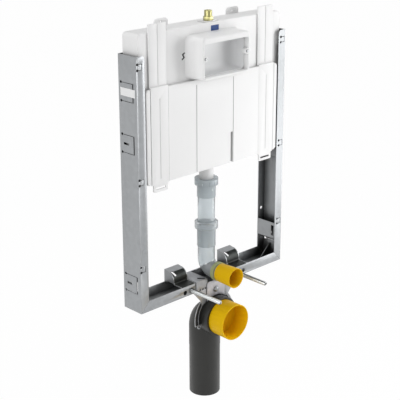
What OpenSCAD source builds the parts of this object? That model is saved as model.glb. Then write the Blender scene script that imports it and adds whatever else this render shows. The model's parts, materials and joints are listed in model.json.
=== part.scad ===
// In-wall frame with a slim concealed cistern, flush pipe and drain bend.
// The origin is midway between the two pan studs, on the front face of the bottom rail.
// X runs to the right seen from the front, Y runs back to the wall, Z runs up. Millimetres.

/* [Frame] */
// Width over the two uprights
frame_w = 550; // [540:1:580]
// Depth of the sheet channels
frame_d = 70; // [68:1:80]
// Thickness of the galvanised sheet
sheet_t = 2; // [1.5:0.1:2.5]
// Width of the uprights' flanges
flange_w = 27; // [25:1:29]
// Top of the uprights above the pan studs
frame_top = 684; // [660:1:720]
// Height of the bottom rail
rail_h = 29.5; // [28:0.5:33]
// Depth of the rail's underside below the pan studs
rail_drop = 11.5; // [11.2:0.1:13]
// Radius of the rounded inner corner on top of each upright
top_corner_r = 10; // [4:1:14]
// Open seam between the mitred flanges
seam_gap = 0.5; // [0.2:0.1:1]
// Leg of the corner gussets along the rail
gusset_l = 47; // [30:1:60]
// Leg of the corner gussets up the web
gusset_h = 42; // [30:1:60]
// Height of the ties that close the channels near the bottom
tie_h = 50; // [30:1:60]
// Underside of the ties above the pan studs
tie_z = 60; // [50:1:80]

/* [Wall and web openings] */
// Diameter of the wall fixing holes in the back flanges
wall_hole_d = 9; // [7:0.5:11]
// Height of the upper wall fixing holes
wall_hole_top = 640; // [600:1:650]
// Height of the lower wall fixing holes
wall_hole_low = 140; // [125:1:200]
// Width of the lanced flaps in the webs
flap_w = 52; // [40:1:56]
// Height of the lanced flaps
flap_h = 48; // [40:1:56]
// Width of the slot at the free edge of a flap
flap_slot = 4; // [2:0.1:6]
// Width of the punched lines round flaps and tabs
cut_w = 1.5; // [0.8:0.1:2.6]
// Diameter of the relief holes beside flaps and tabs
relief_d = 7; // [3:0.5:7.5]
// Side of the small square tabs on the front flanges
tab_side = 15; // [10:1:17]

/* [Studs] */
// Distance between the two pan studs
stud_gap = 180; // [176:1:190]
// Distance between the alternate stud holes
stud_gap_wide = 230; // [222:1:236]
// Diameter of the stud holes in the rail
stud_hole_d = 13; // [12.5:0.1:14]
// Diameter of the studs
stud_d = 12; // [10:0.5:12]
// Length of the studs in front of the rail
stud_out = 112; // [80:1:140]
// Length of the studs behind the rail's front face
stud_in = 30; // [24:1:40]
// Thickness of the stud nuts
nut_t = 10; // [8:0.5:12]
// Width across the flats of the stud nuts
nut_af = 18; // [17:0.5:18]
// Width of the bent hood over each pair of stud holes
hood_w = 52; // [48:1:56]
// Thickness of the hood sheet
hood_t = 2.5; // [2:0.1:3]
// Top of the hoods above the pan studs
hood_top = 55; // [50:1:60]

/* [Drain] */
// Depth of the drain axis below the pan studs
drain_drop = 100; // [98:1:104]
// Outer diameter of the drain pipe
drain_d = 90; // [88:1:92]
// Wall of the drain pipe
drain_wall = 3.5; // [3:0.1:4]
// Distance of the vertical leg behind the rail's front face
drain_y = 42.5; // [40:0.5:46]
// Radius of the bend on its centre line
drain_bend_r = 50; // [49:0.5:54]
// Lower end of the drain pipe below the pan studs
drain_end = 358; // [330:1:420]
// Length of the drain's free end that enters the soil pipe
drain_spigot_l = 150; // [120:1:160]
// Step from the drain's free end to its thicker body
drain_step = 0.5; // [0.4:0.1:1]
// Outer radius of the drain socket
socket_r = 58; // [56.5:0.1:59]
// Bore radius of the drain socket
socket_bore_r = 50; // [49:0.1:51]
// Front face of the drain socket ahead of the rail
socket_front = 27; // [24:1:32]
// Outer radius of the rubber lining behind the holder
lining_r = 65.7; // [64:0.1:65.8]
// Thickness of the rubber lining along the drain
lining_t = 8; // [6:0.5:10]
// Inner radius of the holder's arms
arm_r = 66; // [66:0.5:68]
// Width of the holder's arms
arm_w = 15; // [12:0.5:17]
// Half width of the holder where it leaves the rail
holder_half_top = 85; // [80:1:88]
// Half width of the holder above the drain socket
holder_half_low = 52; // [46:1:58]
// Half width of the plate on top of the rail
deck_half = 75; // [70:1:75.5]
// Diameter of the hexagon bolt
bolt_d = 8; // [6:0.5:10]
// Depth of the hexagon bolt below the pan studs
bolt_drop = 22; // [20:0.5:24]

/* [Flush pipe] */
// Height of the flush outlet above the pan studs
flush_rise = 35; // [34:0.5:38]
// Outer radius of the clear flush pipe
pipe_r = 24.5; // [23.5:0.1:25]
// Wall of the clear flush pipe
pipe_wall = 2; // [1.5:0.1:2.5]
// Radius of the elbow's bend on its centre line
elbow_bend_r = 28; // [27:0.5:30]
// Bore radius of the elbow's mouth
elbow_bore_r = 22; // [21:0.1:22.4]
// Front face of the elbow's mouth ahead of the rail
elbow_front = 22; // [18:1:26]
// Outer radius of the union nuts
union_r = 33; // [31:0.5:34]
// Height of the union nuts
union_h = 18; // [16:1:20]
// Underside of the upper union nut
upper_union_z = 284; // [278:1:290]
// Underside of the lower union nut
lower_union_z = 156; // [150:1:162]
// Length of the sleeve under the upper union nut
upper_sleeve_l = 36; // [30:1:44]
// Length of the sleeve under the lower union nut
lower_sleeve_l = 54; // [44:1:60]
// Wall of the sleeves
sleeve_wall = 1.8; // [1.5:0.1:2.2]

/* [Protection caps] */
// Rim radius of the drain cap
drain_cap_r = 52; // [51:0.1:54]
// Length of the drain cap ahead of the socket
drain_cap_l = 55; // [45:1:65]
// Rim radius of the flush cap
flush_cap_r = 28.5; // [27.5:0.1:30]
// Rear radius of the flush cap
flush_cap_rear_r = 26; // [25.5:0.1:27]
// Length of the flush cap ahead of the elbow
flush_cap_l = 61; // [50:1:70]
// Wall of the caps
cap_wall = 2; // [1.5:0.1:2.5]
// Depth that a cap's plug reaches into its bore
cap_plug_l = 17; // [12:1:20]

/* [Cistern] */
// Gap between the cistern's sides and the outer faces of the uprights
tank_side_gap = 13; // [11:0.5:15]
// Underside of the cistern above the pan studs
tank_z = 340; // [330:1:350]
// Top of the cistern above the pan studs
tank_top = 737; // [725:1:750]
// Wall of the cistern's shells
tank_wall = 3; // [2:0.1:3.5]
// Gap between the cistern's back and the frame's back plane
tank_back_gap = 3; // [2.5:0.1:4]
// Setback of the cistern's upper front face
upper_setback = 10; // [8:0.5:12]
// Height of the ledge between the lower and the upper front face
ledge_z = 594; // [585:1:600]
// Distance from the cistern's side to the raised lower front face
belly_inset = 17; // [16:0.5:22]
// Corner radius of the cistern seen from the front
tank_corner_r = 10; // [6:1:14]
// Width of the straps on the front
strap_w = 60; // [50:1:62]
// Distance of a strap's centre from the cistern's side
strap_inset = 63; // [59:1:67]
// Thickness of a strap where it lies in its recess
strap_t = 4; // [3:0.5:5]
// Top of the straps above the pan studs
strap_top = 758; // [750:1:765]
// Lower end of the straps above the pan studs
strap_low = 318; // [312:1:324]
// Width of the hanging lugs on the back of the cistern
lug_w = 47; // [40:1:55]
// Distance of a hanging lug's centre from the middle
lug_x = 131; // [110:1:140]
// Top of the hanging lugs above the pan studs
lug_top = 755; // [750:1:765]

/* [Access opening] */
// Width of the access opening
hatch_w = 160; // [150:1:163]
// Underside of the access opening
hatch_z = 606; // [603:1:610]
// Top of the access opening
hatch_top = 694; // [692:1:700]
// Width over the access shroud
shroud_w = 176; // [174:1:190]
// Underside of the access shroud
shroud_z = 598; // [595:1:600]
// Top of the access shroud
shroud_top = 711; // [708:1:714]
// Depth of the shroud ahead of the rail's front face
shroud_out = 43; // [36:1:48]
// Wall of the shroud
shroud_wall = 2.5; // [2:0.1:3]

/* [Water inlet] */
// Distance of the inlet behind the rail's front face
inlet_y = 28; // [27:0.5:29]
// Radius over the brass inlet's half inch pipe thread
inlet_r = 10.5; // [10.3:0.05:10.6]
// Length of the inlet's thread
inlet_thread_l = 16; // [12:1:20]
// Height of the hexagon collar under the thread
inlet_collar_h = 10.5; // [8:0.5:13]
// Bore radius of the brass inlet
inlet_bore_r = 7.6; // [7:0.1:8]
// Height of the stop valve's knob
stop_z = 681; // [679:1:683]
// Radius of the stop valve's body
stop_r = 12; // [11:0.5:13]
// Radius of the stop valve's knob
knob_r = 10; // [8:0.5:11]

/* [Fill valve] */
// Distance of the fill valve left of the middle
fill_x = 130; // [120:1:138]
// Radius of the fill valve's stem
fill_r = 9; // [8:0.5:10]
// Lower end of the fill valve's stem
fill_low = 470; // [450:1:480]
// Underside of the fill valve's head
fill_head_z = 650; // [645:1:655]
// Radius of the float
float_r = 22; // [20:0.5:23]
// Height of the float
float_h = 60; // [50:1:70]
// Rise of the float from empty to full
float_travel = 16; // [12:0.5:18]
// Length of the float lever between its pin and the rod
float_arm = 32; // [31:0.5:34]

/* [Flush valve] */
// Radius of the flush valve's tube
lift_r = 12; // [11:0.5:13]
// Bore radius of the flush valve's tube
lift_bore_r = 10; // [9:0.5:10.5]
// Rise of the flush valve's tube
lift_travel = 12; // [10:0.5:12.5]
// Radius of the outlet spigot
spigot_r = 20; // [19.5:0.1:21]
// Bore radius of the outlet spigot
spigot_bore_r = 17; // [16:0.1:17.5]
// Top of the flush valve's basket
basket_top = 470; // [440:1:500]
// Height of the crossbar that lifts the flush valve's tube
crossbar_z = 622; // [618:1:624]
// Distance of the lever's pin from the cistern's inner back
lever_back_gap = 6; // [5.5:0.5:7]

/* [Fits] */
// Radial clearance of pieces that slide or turn in each other
run_gap = 0.05; // [0.03:0.01:0.08]
// Clearance between pieces that are seated without a fit
seat_gap = 0.3; // [0.2:0.05:0.4]
// Radius of the pins that the levers turn on
pin_r = 2; // [1.5:0.1:2.5]

/* [Hidden] */
$fn = 64;
eps = 0.5;
half_w = frame_w / 2;
web_x = half_w - sheet_t;
lip_x = half_w - flange_w;
rail_z = -rail_drop;
rail_top = rail_z + rail_h;
floor_top = rail_z + sheet_t;
back_in = frame_d - sheet_t;
wall_hole_x = half_w - flange_w / 2;
tab_x = lip_x + 9;
gusset_y = 38;
stud_seat_r = stud_d / 2 - 0.3;
flap_back = frame_d - 5;
flap_heights = [589, 453, 66];
tab_heights = [657, 356, 115];
hood_x = (stud_gap + stud_gap_wide) / 4 + 1;
hood_front_y = 31;
hood_slope = 2;
hood_foot_r = 7;
hood_upright = 2;
hood_arc_r = hood_top - hood_slope - rail_top - hood_foot_r - hood_upright;
hood_slot_w = 8;
hood_slot_l = 18;
hood_slot_r = 3.5;
hood_slot_in = 10;
hood_slot_turn = 38;
hood_slot_slant = 20;
drain_z = -drain_drop;
collar_y = lining_t + 4;
arm_drop = 16;
arm_edge = 2.5;
right_arm_w = 5;
hook_r = 7;
holder_t = sheet_t;
holder_rise = 44;
holder_low = drain_z + holder_rise;
bend_hole_x = 40;
bend_hole_gap = 10;
deck_slot_x = 44.5;
deck_slot_y = 10;
deck_slot_turn = 40;
deck_slot_l = 22;
deck_slot_w = 9;
bolt_af = 13;
bolt_flange_r = 8.5;
bolt_flange_t = 1.6;
pad_half = 35;
pad_top = 8;
pad_t = 2;
pipe_y = frame_d / 2;
elbow_notch = pipe_r + 7;
pipe_in_r = pipe_r - pipe_wall;
sleeve_in_r = pipe_r + run_gap;
sleeve_r = sleeve_in_r + sleeve_wall;
elbow_low_z = flush_rise + elbow_bend_r;
spigot_end = upper_union_z + 6;
tank_w = frame_w - 2 * tank_side_gap;
tank_half = tank_w / 2;
belly_w = tank_w - 2 * belly_inset;
strap_x = tank_half - strap_inset;
parting_y = pipe_y;
tank_back = frame_d - tank_back_gap;
tank_in_back = tank_back - tank_wall;
upper_in_front = upper_setback + tank_wall;
tank_floor = tank_z + tank_wall;
belly_line_x = 69;
belly_line_w = 2.4;
belly_line_d = 1.8;
pocket_w = 10;
pocket_h = 88;
pocket_d = 8;
mark_w = 4.2;
mark_path = [[-103, 668], [-109, 665], [-104, 657], [-110, 653]];
lug_drop = 50;
lug_corner_r = 9;
hatch_rise = 50;
hatch_mid = hatch_z + hatch_rise;
lug_l = 14;
lug_r = 8.5;
lug_hole_x = hatch_w / 2 - 3;
guard_r = 12;
guard_t = 2;
shroud_fill_r = 10;
neck_r = 8;
boss_front = inlet_y - stop_r - 1;
neck_low = stop_z + 19;
gasket_t = 1.5;
gasket_w = 5;
flange_z = tank_floor + gasket_t;
flange_t = 4;
seat_z = flange_z + flange_t;
disc_z = seat_z + 3;
seal_t = 2.5;
crossbar_half = 24;
basket_r = tank_in_back - pipe_y - 1;
post_r = 2.4;
ring_r = basket_r - post_r - 0.6;
seal_r = ring_r - post_r - 1.6;
pivot_y = tank_in_back - lever_back_gap;
lever_arm = pivot_y - pipe_y;
lever_post_x = 26;
lever_post_t = 4;
lever_angle = lift_travel / lever_arm * 180 / PI;
nub_r = 3;
nub_z = crossbar_z - nub_r - seat_gap;
pivot_z = nub_z + lever_arm * sin(lever_angle / 2);
lever_pin_r = 2.5;
badge_x = 7;
badge_w = 28;
badge_gap = 3;
badge_h = 14;
plate_t = 2;
collar_af = 24;
label_t = 0.5;
label_h = 21;
label_gap = 7;
float_angle = float_travel / float_arm * 180 / PI;
float_z = fill_low + seat_gap;
float_pin_x = -fill_x + 18;
float_pin_z = fill_head_z + 10;
float_rod_x = float_pin_x + float_arm;
float_eye_z = float_pin_z - float_arm * sin(float_angle / 2);
lever_y = inlet_y - 6;
lever_t = 4;

galvanised = [0.70, 0.71, 0.72];
shell_white = [0.93, 0.93, 0.92];
clear_grey = [0.80, 0.83, 0.85];
pipe_grey = [0.62, 0.65, 0.67];
drain_grey = [0.24, 0.24, 0.23];
cap_yellow = [0.90, 0.70, 0.08];
brass = [0.78, 0.72, 0.36];
rubber_black = [0.12, 0.12, 0.12];
valve_blue = [0.45, 0.58, 0.70];

// Shared shapes

module tube(outer, inner, length) {
    difference() {
        cylinder(r = outer, h = length);
        translate([0, 0, -eps]) cylinder(r = inner, h = length + 2 * eps);
    }
}

// A plate drawn in X and Z, from y0 back by t
module plate_xz(y0, t) {
    translate([0, y0 + t, 0]) rotate([90, 0, 0]) linear_extrude(t) children();
}

// A plate drawn in Y and Z, from x0 to the right by t
module plate_yz(x0, t) {
    translate([x0, 0, 0]) rotate([90, 0, 90]) linear_extrude(t) children();
}

// Something round that points back along Y
module along_y(x, y, z) {
    translate([x, y, z]) rotate([-90, 0, 0]) children();
}

// Something round that points right along X
module along_x(x, y, z) {
    translate([x, y, z]) rotate([0, 90, 0]) children();
}

module both_sides() {
    children();
    mirror([1, 0, 0]) children();
}

module rounded_rect(x0, y0, x1, y1, r) {
    translate([x0 + r, y0]) square([x1 - x0 - 2 * r, y1 - y0]);
    translate([x0, y0 + r]) square([x1 - x0, y1 - y0 - 2 * r]);
    for (x = [x0 + r, x1 - r], y = [y0 + r, y1 - r]) translate([x, y]) circle(r);
}

module ring_2d(outer, inner) {
    difference() {
        circle(outer);
        circle(inner);
    }
}

// A flat bar with round ends between two points of a drawing
module bar_2d(p, q, w) {
    run = q - p;
    length = norm(run);
    translate(p) rotate(atan2(run[1], run[0])) translate([0, -w / 2]) square([length, w]);
    translate(p) circle(d = w);
    translate(q) circle(d = w);
}

// A straight bar from p to q with square ends that reach half its width past both
module square_bar_2d(p, q, w) {
    run = q - p;
    translate(p) rotate(atan2(run[1], run[0])) translate([-w / 2, -w / 2]) square([norm(run) + w, w]);
}

module hex_nut(af, bore, t) {
    difference() {
        cylinder(d = af / cos(30), h = t, $fn = 6);
        translate([0, 0, -eps]) cylinder(r = bore, h = t + 2 * eps);
    }
}

// Frame

module mitre_line(gap) {
    polygon([[lip_x, rail_top + gap], [half_w, rail_z + gap], [half_w, frame_top], [lip_x, frame_top]]);
}

module flange_outline(rounded) {
    difference() {
        intersection() {
            mitre_line(seam_gap);
            translate([lip_x, rail_z]) square([flange_w, frame_top - rail_z]);
        }
        if (rounded) difference() {
            translate([lip_x, frame_top - top_corner_r]) square(top_corner_r);
            translate([lip_x + top_corner_r, frame_top - top_corner_r]) circle(top_corner_r);
        }
    }
}

// The cut round a flap that is lanced out of a web, drawn in Y and Z
module flap_cut(z) {
    low = z - flap_h / 2;
    front = flap_back - flap_w;
    translate([front, low]) square([flap_slot, flap_h]);
    for (edge = [low, low + flap_h]) {
        translate([front, edge - cut_w / 2]) square([flap_w - 4, cut_w]);
        translate([flap_back - 4, edge]) circle(d = relief_d);
    }
    translate([flap_back - 30, z - 3]) square([20, 6]);
}

// The cut round a small square tab on a front flange, drawn in X and Z
module tab_cut(fold_x, side, z) {
    low = z - tab_side / 2;
    left = min(fold_x, fold_x + side * tab_side);
    for (edge = [low, low + tab_side]) {
        translate([left, edge - cut_w / 2]) square([tab_side, cut_w]);
        translate([fold_x, edge]) circle(d = relief_d);
    }
    translate([fold_x + side * (tab_side - cut_w / 2) - cut_w / 2, low]) square([cut_w, tab_side]);
}

// The tabs' folds lie at fold_x, and the tabs point to that side of it
module upright(fold_x, side) {
    difference() {
        union() {
            translate([web_x, 0, rail_z]) cube([sheet_t, frame_d, frame_top - rail_z]);
            plate_xz(0, sheet_t) flange_outline(true);
            plate_xz(back_in, sheet_t) flange_outline(false);
        }
        for (z = flap_heights) plate_yz(web_x - eps, sheet_t + 2 * eps) flap_cut(z);
        for (z = tab_heights) plate_xz(-eps, sheet_t + 2 * eps) tab_cut(fold_x, side, z);
        for (z = [wall_hole_low, wall_hole_top])
            along_y(wall_hole_x, back_in - eps, z) cylinder(d = wall_hole_d, h = sheet_t + 2 * eps);
    }
}

module right_upright() {
    color(galvanised) upright(tab_x, 1);
}

// Both uprights are punched in the same direction, so the left one's tabs aren't mirrored
module left_upright() {
    color(galvanised) mirror([1, 0, 0]) upright(tab_x + tab_side, -1);
}

module rail_flange_outline() {
    intersection() {
        translate([-web_x, rail_z]) square([2 * web_x, rail_h]);
        polygon([[-half_w, rail_z], [half_w, rail_z], [lip_x, rail_top], [-lip_x, rail_top]]);
    }
}

module bottom_rail() {
    color(galvanised) {
        translate([-web_x, 0, rail_z]) cube([2 * web_x, frame_d, sheet_t]);
        difference() {
            plate_xz(0, sheet_t) rail_flange_outline();
            translate([-elbow_notch, -eps, flush_rise - elbow_notch])
                cube([2 * elbow_notch, sheet_t + 2 * eps, rail_h]);
            for (x = [-stud_gap, stud_gap, -stud_gap_wide, stud_gap_wide])
                along_y(x / 2, -eps, 0) cylinder(d = stud_hole_d, h = sheet_t + 2 * eps);
        }
        plate_xz(back_in, sheet_t) rail_flange_outline();
    }
}

module corner_gussets() {
    color(galvanised) both_sides() plate_xz(gusset_y, sheet_t)
        polygon([[web_x, floor_top], [web_x - gusset_l, floor_top], [web_x - gusset_l, floor_top + 3],
            [web_x - 4, floor_top + gusset_h], [web_x, floor_top + gusset_h]]);
}

module channel_ties() {
    slot_end = 9;
    slot_w = 10;
    color(galvanised) both_sides() difference() {
        translate([lip_x, sheet_t, tie_z]) cube([sheet_t, back_in - sheet_t, tie_h]);
        translate([lip_x - eps, sheet_t + 3, tie_z + slot_end])
            cube([sheet_t + 2 * eps, slot_w, tie_h - 2 * slot_end]);
    }
}

module tank_carriers() {
    shelf_w = web_x - lip_x - 1;
    end_gap = 10;
    leg_h = 34;
    shelf_d = frame_d - 2 * end_gap;
    color(galvanised) both_sides() {
        translate([web_x - shelf_w, end_gap, tank_z - sheet_t]) cube([shelf_w, shelf_d, sheet_t]);
        translate([web_x - sheet_t, end_gap, tank_z - leg_h]) cube([sheet_t, shelf_d, leg_h]);
    }
}

// Outline of a hood's bent strip, drawn in Y and Z
module hood_profile() {
    top = hood_top - hood_t;
    arc_y = hood_front_y + hood_arc_r;
    arc_z = hood_top - hood_slope - hood_arc_r;
    foot_y = hood_front_y - hood_foot_r + hood_t;
    polygon([[arc_y, hood_top - hood_slope], [frame_d, hood_top], [frame_d, top], [arc_y, top - hood_slope]]);
    intersection() {
        translate([arc_y, arc_z]) ring_2d(hood_arc_r, hood_arc_r - hood_t);
        translate([arc_y - hood_arc_r, arc_z]) square(hood_arc_r);
    }
    translate([hood_front_y, rail_top + hood_foot_r]) square([hood_t, hood_upright]);
    intersection() {
        translate([foot_y, rail_top + hood_foot_r]) ring_2d(hood_foot_r, hood_foot_r - hood_t);
        translate([foot_y, rail_top]) square(hood_foot_r);
    }
    translate([0, rail_top]) square([foot_y, hood_t]);
}

// Outline of a hood's cheek under the bent strip, drawn in Y and Z
module hood_cheek() {
    arc_y = hood_front_y + hood_arc_r;
    arc_z = hood_top - hood_slope - hood_arc_r;
    polygon([[arc_y, rail_top], [frame_d, rail_top], [frame_d, hood_top - 1], [arc_y, hood_top - hood_slope - 1]]);
    translate([hood_front_y + 1, rail_top + 4]) square([hood_arc_r, arc_z - rail_top - 4]);
    translate([arc_y, arc_z]) intersection() {
        circle(hood_arc_r - 1);
        translate([-hood_arc_r, 0]) square(hood_arc_r);
    }
}

// The slanted slot in a hood's curve, cut along the curve's radius
module hood_slot() {
    translate([-hood_w / 2 + hood_slot_in, hood_front_y + hood_arc_r, hood_top - hood_slope - hood_arc_r])
        rotate([hood_slot_turn, 0, 0]) translate([0, 0, hood_arc_r - 3 * hood_t]) linear_extrude(4 * hood_t)
            rotate(hood_slot_slant) rounded_rect(-hood_slot_w / 2, -hood_slot_l / 2,
                hood_slot_w / 2, hood_slot_l / 2, hood_slot_r);
}

// Both hoods are punched in the same direction, so they aren't mirrored
module stud_hoods() {
    color(galvanised) for (x = [-hood_x, hood_x]) translate([x, 0, 0]) {
        difference() {
            plate_yz(-hood_w / 2, hood_w) hood_profile();
            hood_slot();
        }
        for (cheek = [-hood_w / 2, hood_w / 2 - sheet_t]) plate_yz(cheek, sheet_t) hood_cheek();
    }
}

// Behind the rail's front face the studs are drawn at the size of their thread inside the nuts
module pan_studs() {
    color([0.80, 0.81, 0.82]) for (x = [-stud_gap, stud_gap] / 2)
        along_y(x, -stud_out, 0) {
            cylinder(r1 = stud_d / 2 - 1, r2 = stud_d / 2, h = 1);
            translate([0, 0, 1]) cylinder(d = stud_d, h = stud_out - 1);
            cylinder(r = stud_seat_r, h = stud_out + stud_in);
        }
}

module stud_nuts() {
    color([0.74, 0.75, 0.76]) for (x = [-stud_gap, stud_gap] / 2)
        along_y(x, sheet_t, 0) hex_nut(nut_af, stud_seat_r, nut_t);
}

// Drain

// The stretch of a ring beside the drain that an arm spans, to a height above the arm's end
module arm_window(outer, inner, above) {
    intersection() {
        translate([0, drain_z]) ring_2d(outer, inner);
        translate([-arm_r - arm_w - 5, drain_z - arm_drop + above]) square([2 * arm_w + 2, arm_r - above]);
    }
}

module holder_outline() {
    waist_z = rail_z - 38;
    bend_hole = 6.5;
    difference() {
        union() {
            translate([-deck_half, rail_z]) square([2 * deck_half, rail_h + sheet_t]);
            polygon([[-holder_half_top, rail_z], [holder_half_top, rail_z],
                [holder_half_low, waist_z], [holder_half_low, holder_low],
                [-holder_half_low, holder_low], [-holder_half_low, waist_z]]);
            for (arm = [[-1, arm_w], [1, right_arm_w]]) translate([0, drain_z]) intersection() {
                ring_2d(arm_r + arm[1], arm_r);
                translate([(arm[0] - 1) * arm_r, -arm_drop]) square([2 * arm_r, 3 * arm_r]);
            }
            for (side = [-1, 1]) translate([side * (arm_r - 2.5), drain_z - arm_drop - 4])
                ring_2d(hook_r, hook_r / 2);
        }
        arm_window(arm_r + arm_w - arm_edge, arm_r + arm_edge, arm_edge);
        translate([0, drain_z]) circle(socket_r + 2);
        translate([0, -bolt_drop]) circle(bolt_d / 2);
        translate([-elbow_notch, pad_top]) square([2 * elbow_notch, rail_h]);
        for (side = [-1, 1], i = [0, 1, 2])
            translate([side * (bend_hole_x + i * bend_hole_gap) - bend_hole / 2, rail_z + 1])
                square(bend_hole);
    }
}

module drain_holder() {
    color([0.66, 0.67, 0.68]) {
        plate_xz(-holder_t, holder_t) holder_outline();
        difference() {
            translate([-deck_half, -holder_t, rail_top]) cube([2 * deck_half, frame_d + holder_t, sheet_t]);
            translate([-elbow_notch, -holder_t - eps, rail_top - eps])
                cube([2 * elbow_notch, pipe_y + elbow_notch + holder_t, sheet_t + 2 * eps]);
            for (side = [-1, 1]) translate([side * deck_slot_x, deck_slot_y, rail_top - eps])
                rotate(side * deck_slot_turn) translate([-deck_slot_l / 2, -deck_slot_w / 2, 0])
                    cube([deck_slot_l, deck_slot_w, sheet_t + 2 * eps]);
        }
    }
}

module holder_pad() {
    color([0.74, 0.73, 0.76]) plate_xz(-holder_t - pad_t, pad_t) difference() {
        rounded_rect(-pad_half, holder_low, pad_half, pad_top, 9);
        translate([0, drain_z]) circle(socket_r + 2);
        translate([0, -bolt_drop]) circle(bolt_d / 2);
    }
}

module holder_bolt() {
    head_t = 5.5;
    head_y = -holder_t - pad_t;
    color([0.78, 0.79, 0.80]) along_y(0, head_y - head_t, -bolt_drop) {
        cylinder(d = bolt_af / cos(30), h = head_t, $fn = 6);
        translate([0, 0, head_t - bolt_flange_t]) cylinder(r = bolt_flange_r, h = bolt_flange_t);
        cylinder(d = bolt_d, h = head_t - head_y + 10);
    }
}

module holder_nut() {
    color([0.74, 0.75, 0.76]) along_y(0, 0, -bolt_drop) hex_nut(bolt_af, bolt_d / 2, 6.5);
}

// The rubber lining is open below, where the pipe turns down, and fills the left arm's window from behind
module drain_lining() {
    color(rubber_black) {
        difference() {
            along_y(0, seat_gap, drain_z) tube(lining_r, socket_r + seat_gap, lining_t);
            translate([-2 * lining_r, 0, drain_z - 3 * lining_r])
                cube([4 * lining_r, frame_d, 3 * lining_r - arm_drop]);
        }
        plate_xz(seat_gap, arm_edge) arm_window(arm_r + arm_w - 1, lining_r - 1, 1);
    }
}

// A round bar along the drain's centre line, from the height low to the socket and past it by extra
module drain_way(r, low, extra) {
    bend_y = drain_y - drain_bend_r;
    bend_z = drain_z - drain_bend_r;
    translate([0, drain_y, low]) cylinder(r = r, h = bend_z - low);
    translate([0, bend_y, bend_z]) rotate([90, 0, 90]) rotate_extrude(angle = 90)
        translate([drain_bend_r, 0]) circle(r);
    along_y(0, -socket_front - extra, drain_z) cylinder(r = r, h = socket_front + extra + bend_y);
}

module drain_bend() {
    color(drain_grey) difference() {
        union() {
            translate([0, drain_y, -drain_end]) cylinder(d = drain_d, h = drain_spigot_l + 1);
            drain_way(drain_d / 2 + drain_step, -drain_end + drain_spigot_l, 0);
            along_y(0, -socket_front, drain_z) cylinder(r = socket_r, h = socket_front + collar_y);
        }
        drain_way(drain_d / 2 - drain_wall, -drain_end - eps, eps);
        along_y(0, -socket_front - eps, drain_z) cylinder(r = socket_bore_r, h = cap_plug_l + 2 + eps);
    }
}

module drain_seal() {
    color(rubber_black) along_y(0, -socket_front + cap_plug_l + seat_gap, drain_z)
        tube(socket_bore_r, socket_bore_r - 5, 2 - seat_gap);
}

module drain_cap() {
    plug_r = socket_bore_r - run_gap;
    color(cap_yellow) along_y(0, -socket_front - drain_cap_l, drain_z) difference() {
        union() {
            cylinder(r1 = drain_cap_r, r2 = drain_cap_r - 0.8, h = drain_cap_l - seat_gap);
            cylinder(r = plug_r, h = drain_cap_l + cap_plug_l - seat_gap);
        }
        translate([0, 0, -eps]) cylinder(r = drain_cap_r - cap_wall - 0.8, h = drain_cap_l - 4);
        translate([0, 0, drain_cap_l - 2]) cylinder(r = plug_r - cap_wall, h = cap_plug_l + 4);
    }
}

// Flush pipe

module flush_cap() {
    plug_r = elbow_bore_r - run_gap;
    color(cap_yellow) along_y(0, -elbow_front - flush_cap_l, flush_rise) difference() {
        union() {
            cylinder(r1 = flush_cap_r, r2 = flush_cap_rear_r, h = flush_cap_l - seat_gap);
            cylinder(r = plug_r, h = flush_cap_l + cap_plug_l - seat_gap);
        }
        translate([0, 0, -eps])
            cylinder(r1 = flush_cap_r - cap_wall, r2 = flush_cap_rear_r - cap_wall, h = flush_cap_l - 8);
        translate([0, 0, flush_cap_l - 4]) cylinder(r = plug_r - cap_wall, h = cap_plug_l + 6);
    }
}

module flush_elbow() {
    r = pipe_r;
    mouth_l = elbow_front + pipe_y - elbow_bend_r;
    color(pipe_grey) {
        translate([0, pipe_y, elbow_low_z]) tube(r, pipe_in_r, lower_union_z - seat_gap - elbow_low_z);
        translate([0, pipe_y - elbow_bend_r, elbow_low_z]) rotate([90, 0, 90]) rotate([0, 0, -90])
            rotate_extrude(angle = 90) translate([elbow_bend_r, 0]) ring_2d(r, pipe_in_r);
        along_y(0, -elbow_front, flush_rise) tube(r, elbow_bore_r, mouth_l);
    }
}

module elbow_seal() {
    color([0.66, 0.70, 0.42]) along_y(0, -elbow_front + 3, flush_rise) tube(pipe_r + 3, pipe_r + run_gap, 12);
}

module union_nut(z, length) {
    translate([0, pipe_y, z]) difference() {
        cylinder(r = union_r, h = length);
        translate([0, 0, -eps]) cylinder(r = sleeve_r + run_gap, h = length + 2 * eps);
        for (a = [0:30:359]) rotate(a) translate([union_r + 0.6, 0, -eps]) cylinder(r = 1.6, h = length + 2 * eps);
    }
}

module lower_sleeve() {
    top = lower_union_z + union_h + 4;
    color(clear_grey) translate([0, pipe_y, lower_union_z - lower_sleeve_l])
        tube(sleeve_r, sleeve_in_r, top - lower_union_z + lower_sleeve_l);
}

module lower_union_nut() {
    color(clear_grey) union_nut(lower_union_z, union_h);
}

module flush_pipe() {
    color(clear_grey) translate([0, pipe_y, lower_union_z]) tube(pipe_r, pipe_in_r, upper_union_z - 2 - lower_union_z);
}

module upper_sleeve() {
    color(pipe_grey) translate([0, pipe_y, upper_union_z - upper_sleeve_l])
        tube(sleeve_r, sleeve_in_r, upper_sleeve_l + union_h - 4);
}

module upper_union_nut() {
    lid = 4;
    color(pipe_grey) {
        union_nut(upper_union_z, union_h - lid);
        translate([0, pipe_y, upper_union_z + union_h - lid]) tube(union_r, spigot_r + run_gap, lid);
    }
}

module outlet_spigot() {
    color(shell_white) translate([0, pipe_y, 0]) difference() {
        union() {
            translate([0, 0, spigot_end]) cylinder(r = spigot_r, h = flange_z - spigot_end);
            translate([0, 0, flange_z]) cylinder(r = basket_r, h = flange_t);
        }
        translate([0, 0, spigot_end - eps]) cylinder(r = spigot_bore_r, h = seat_z - spigot_end + 2 * eps);
    }
}

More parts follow.
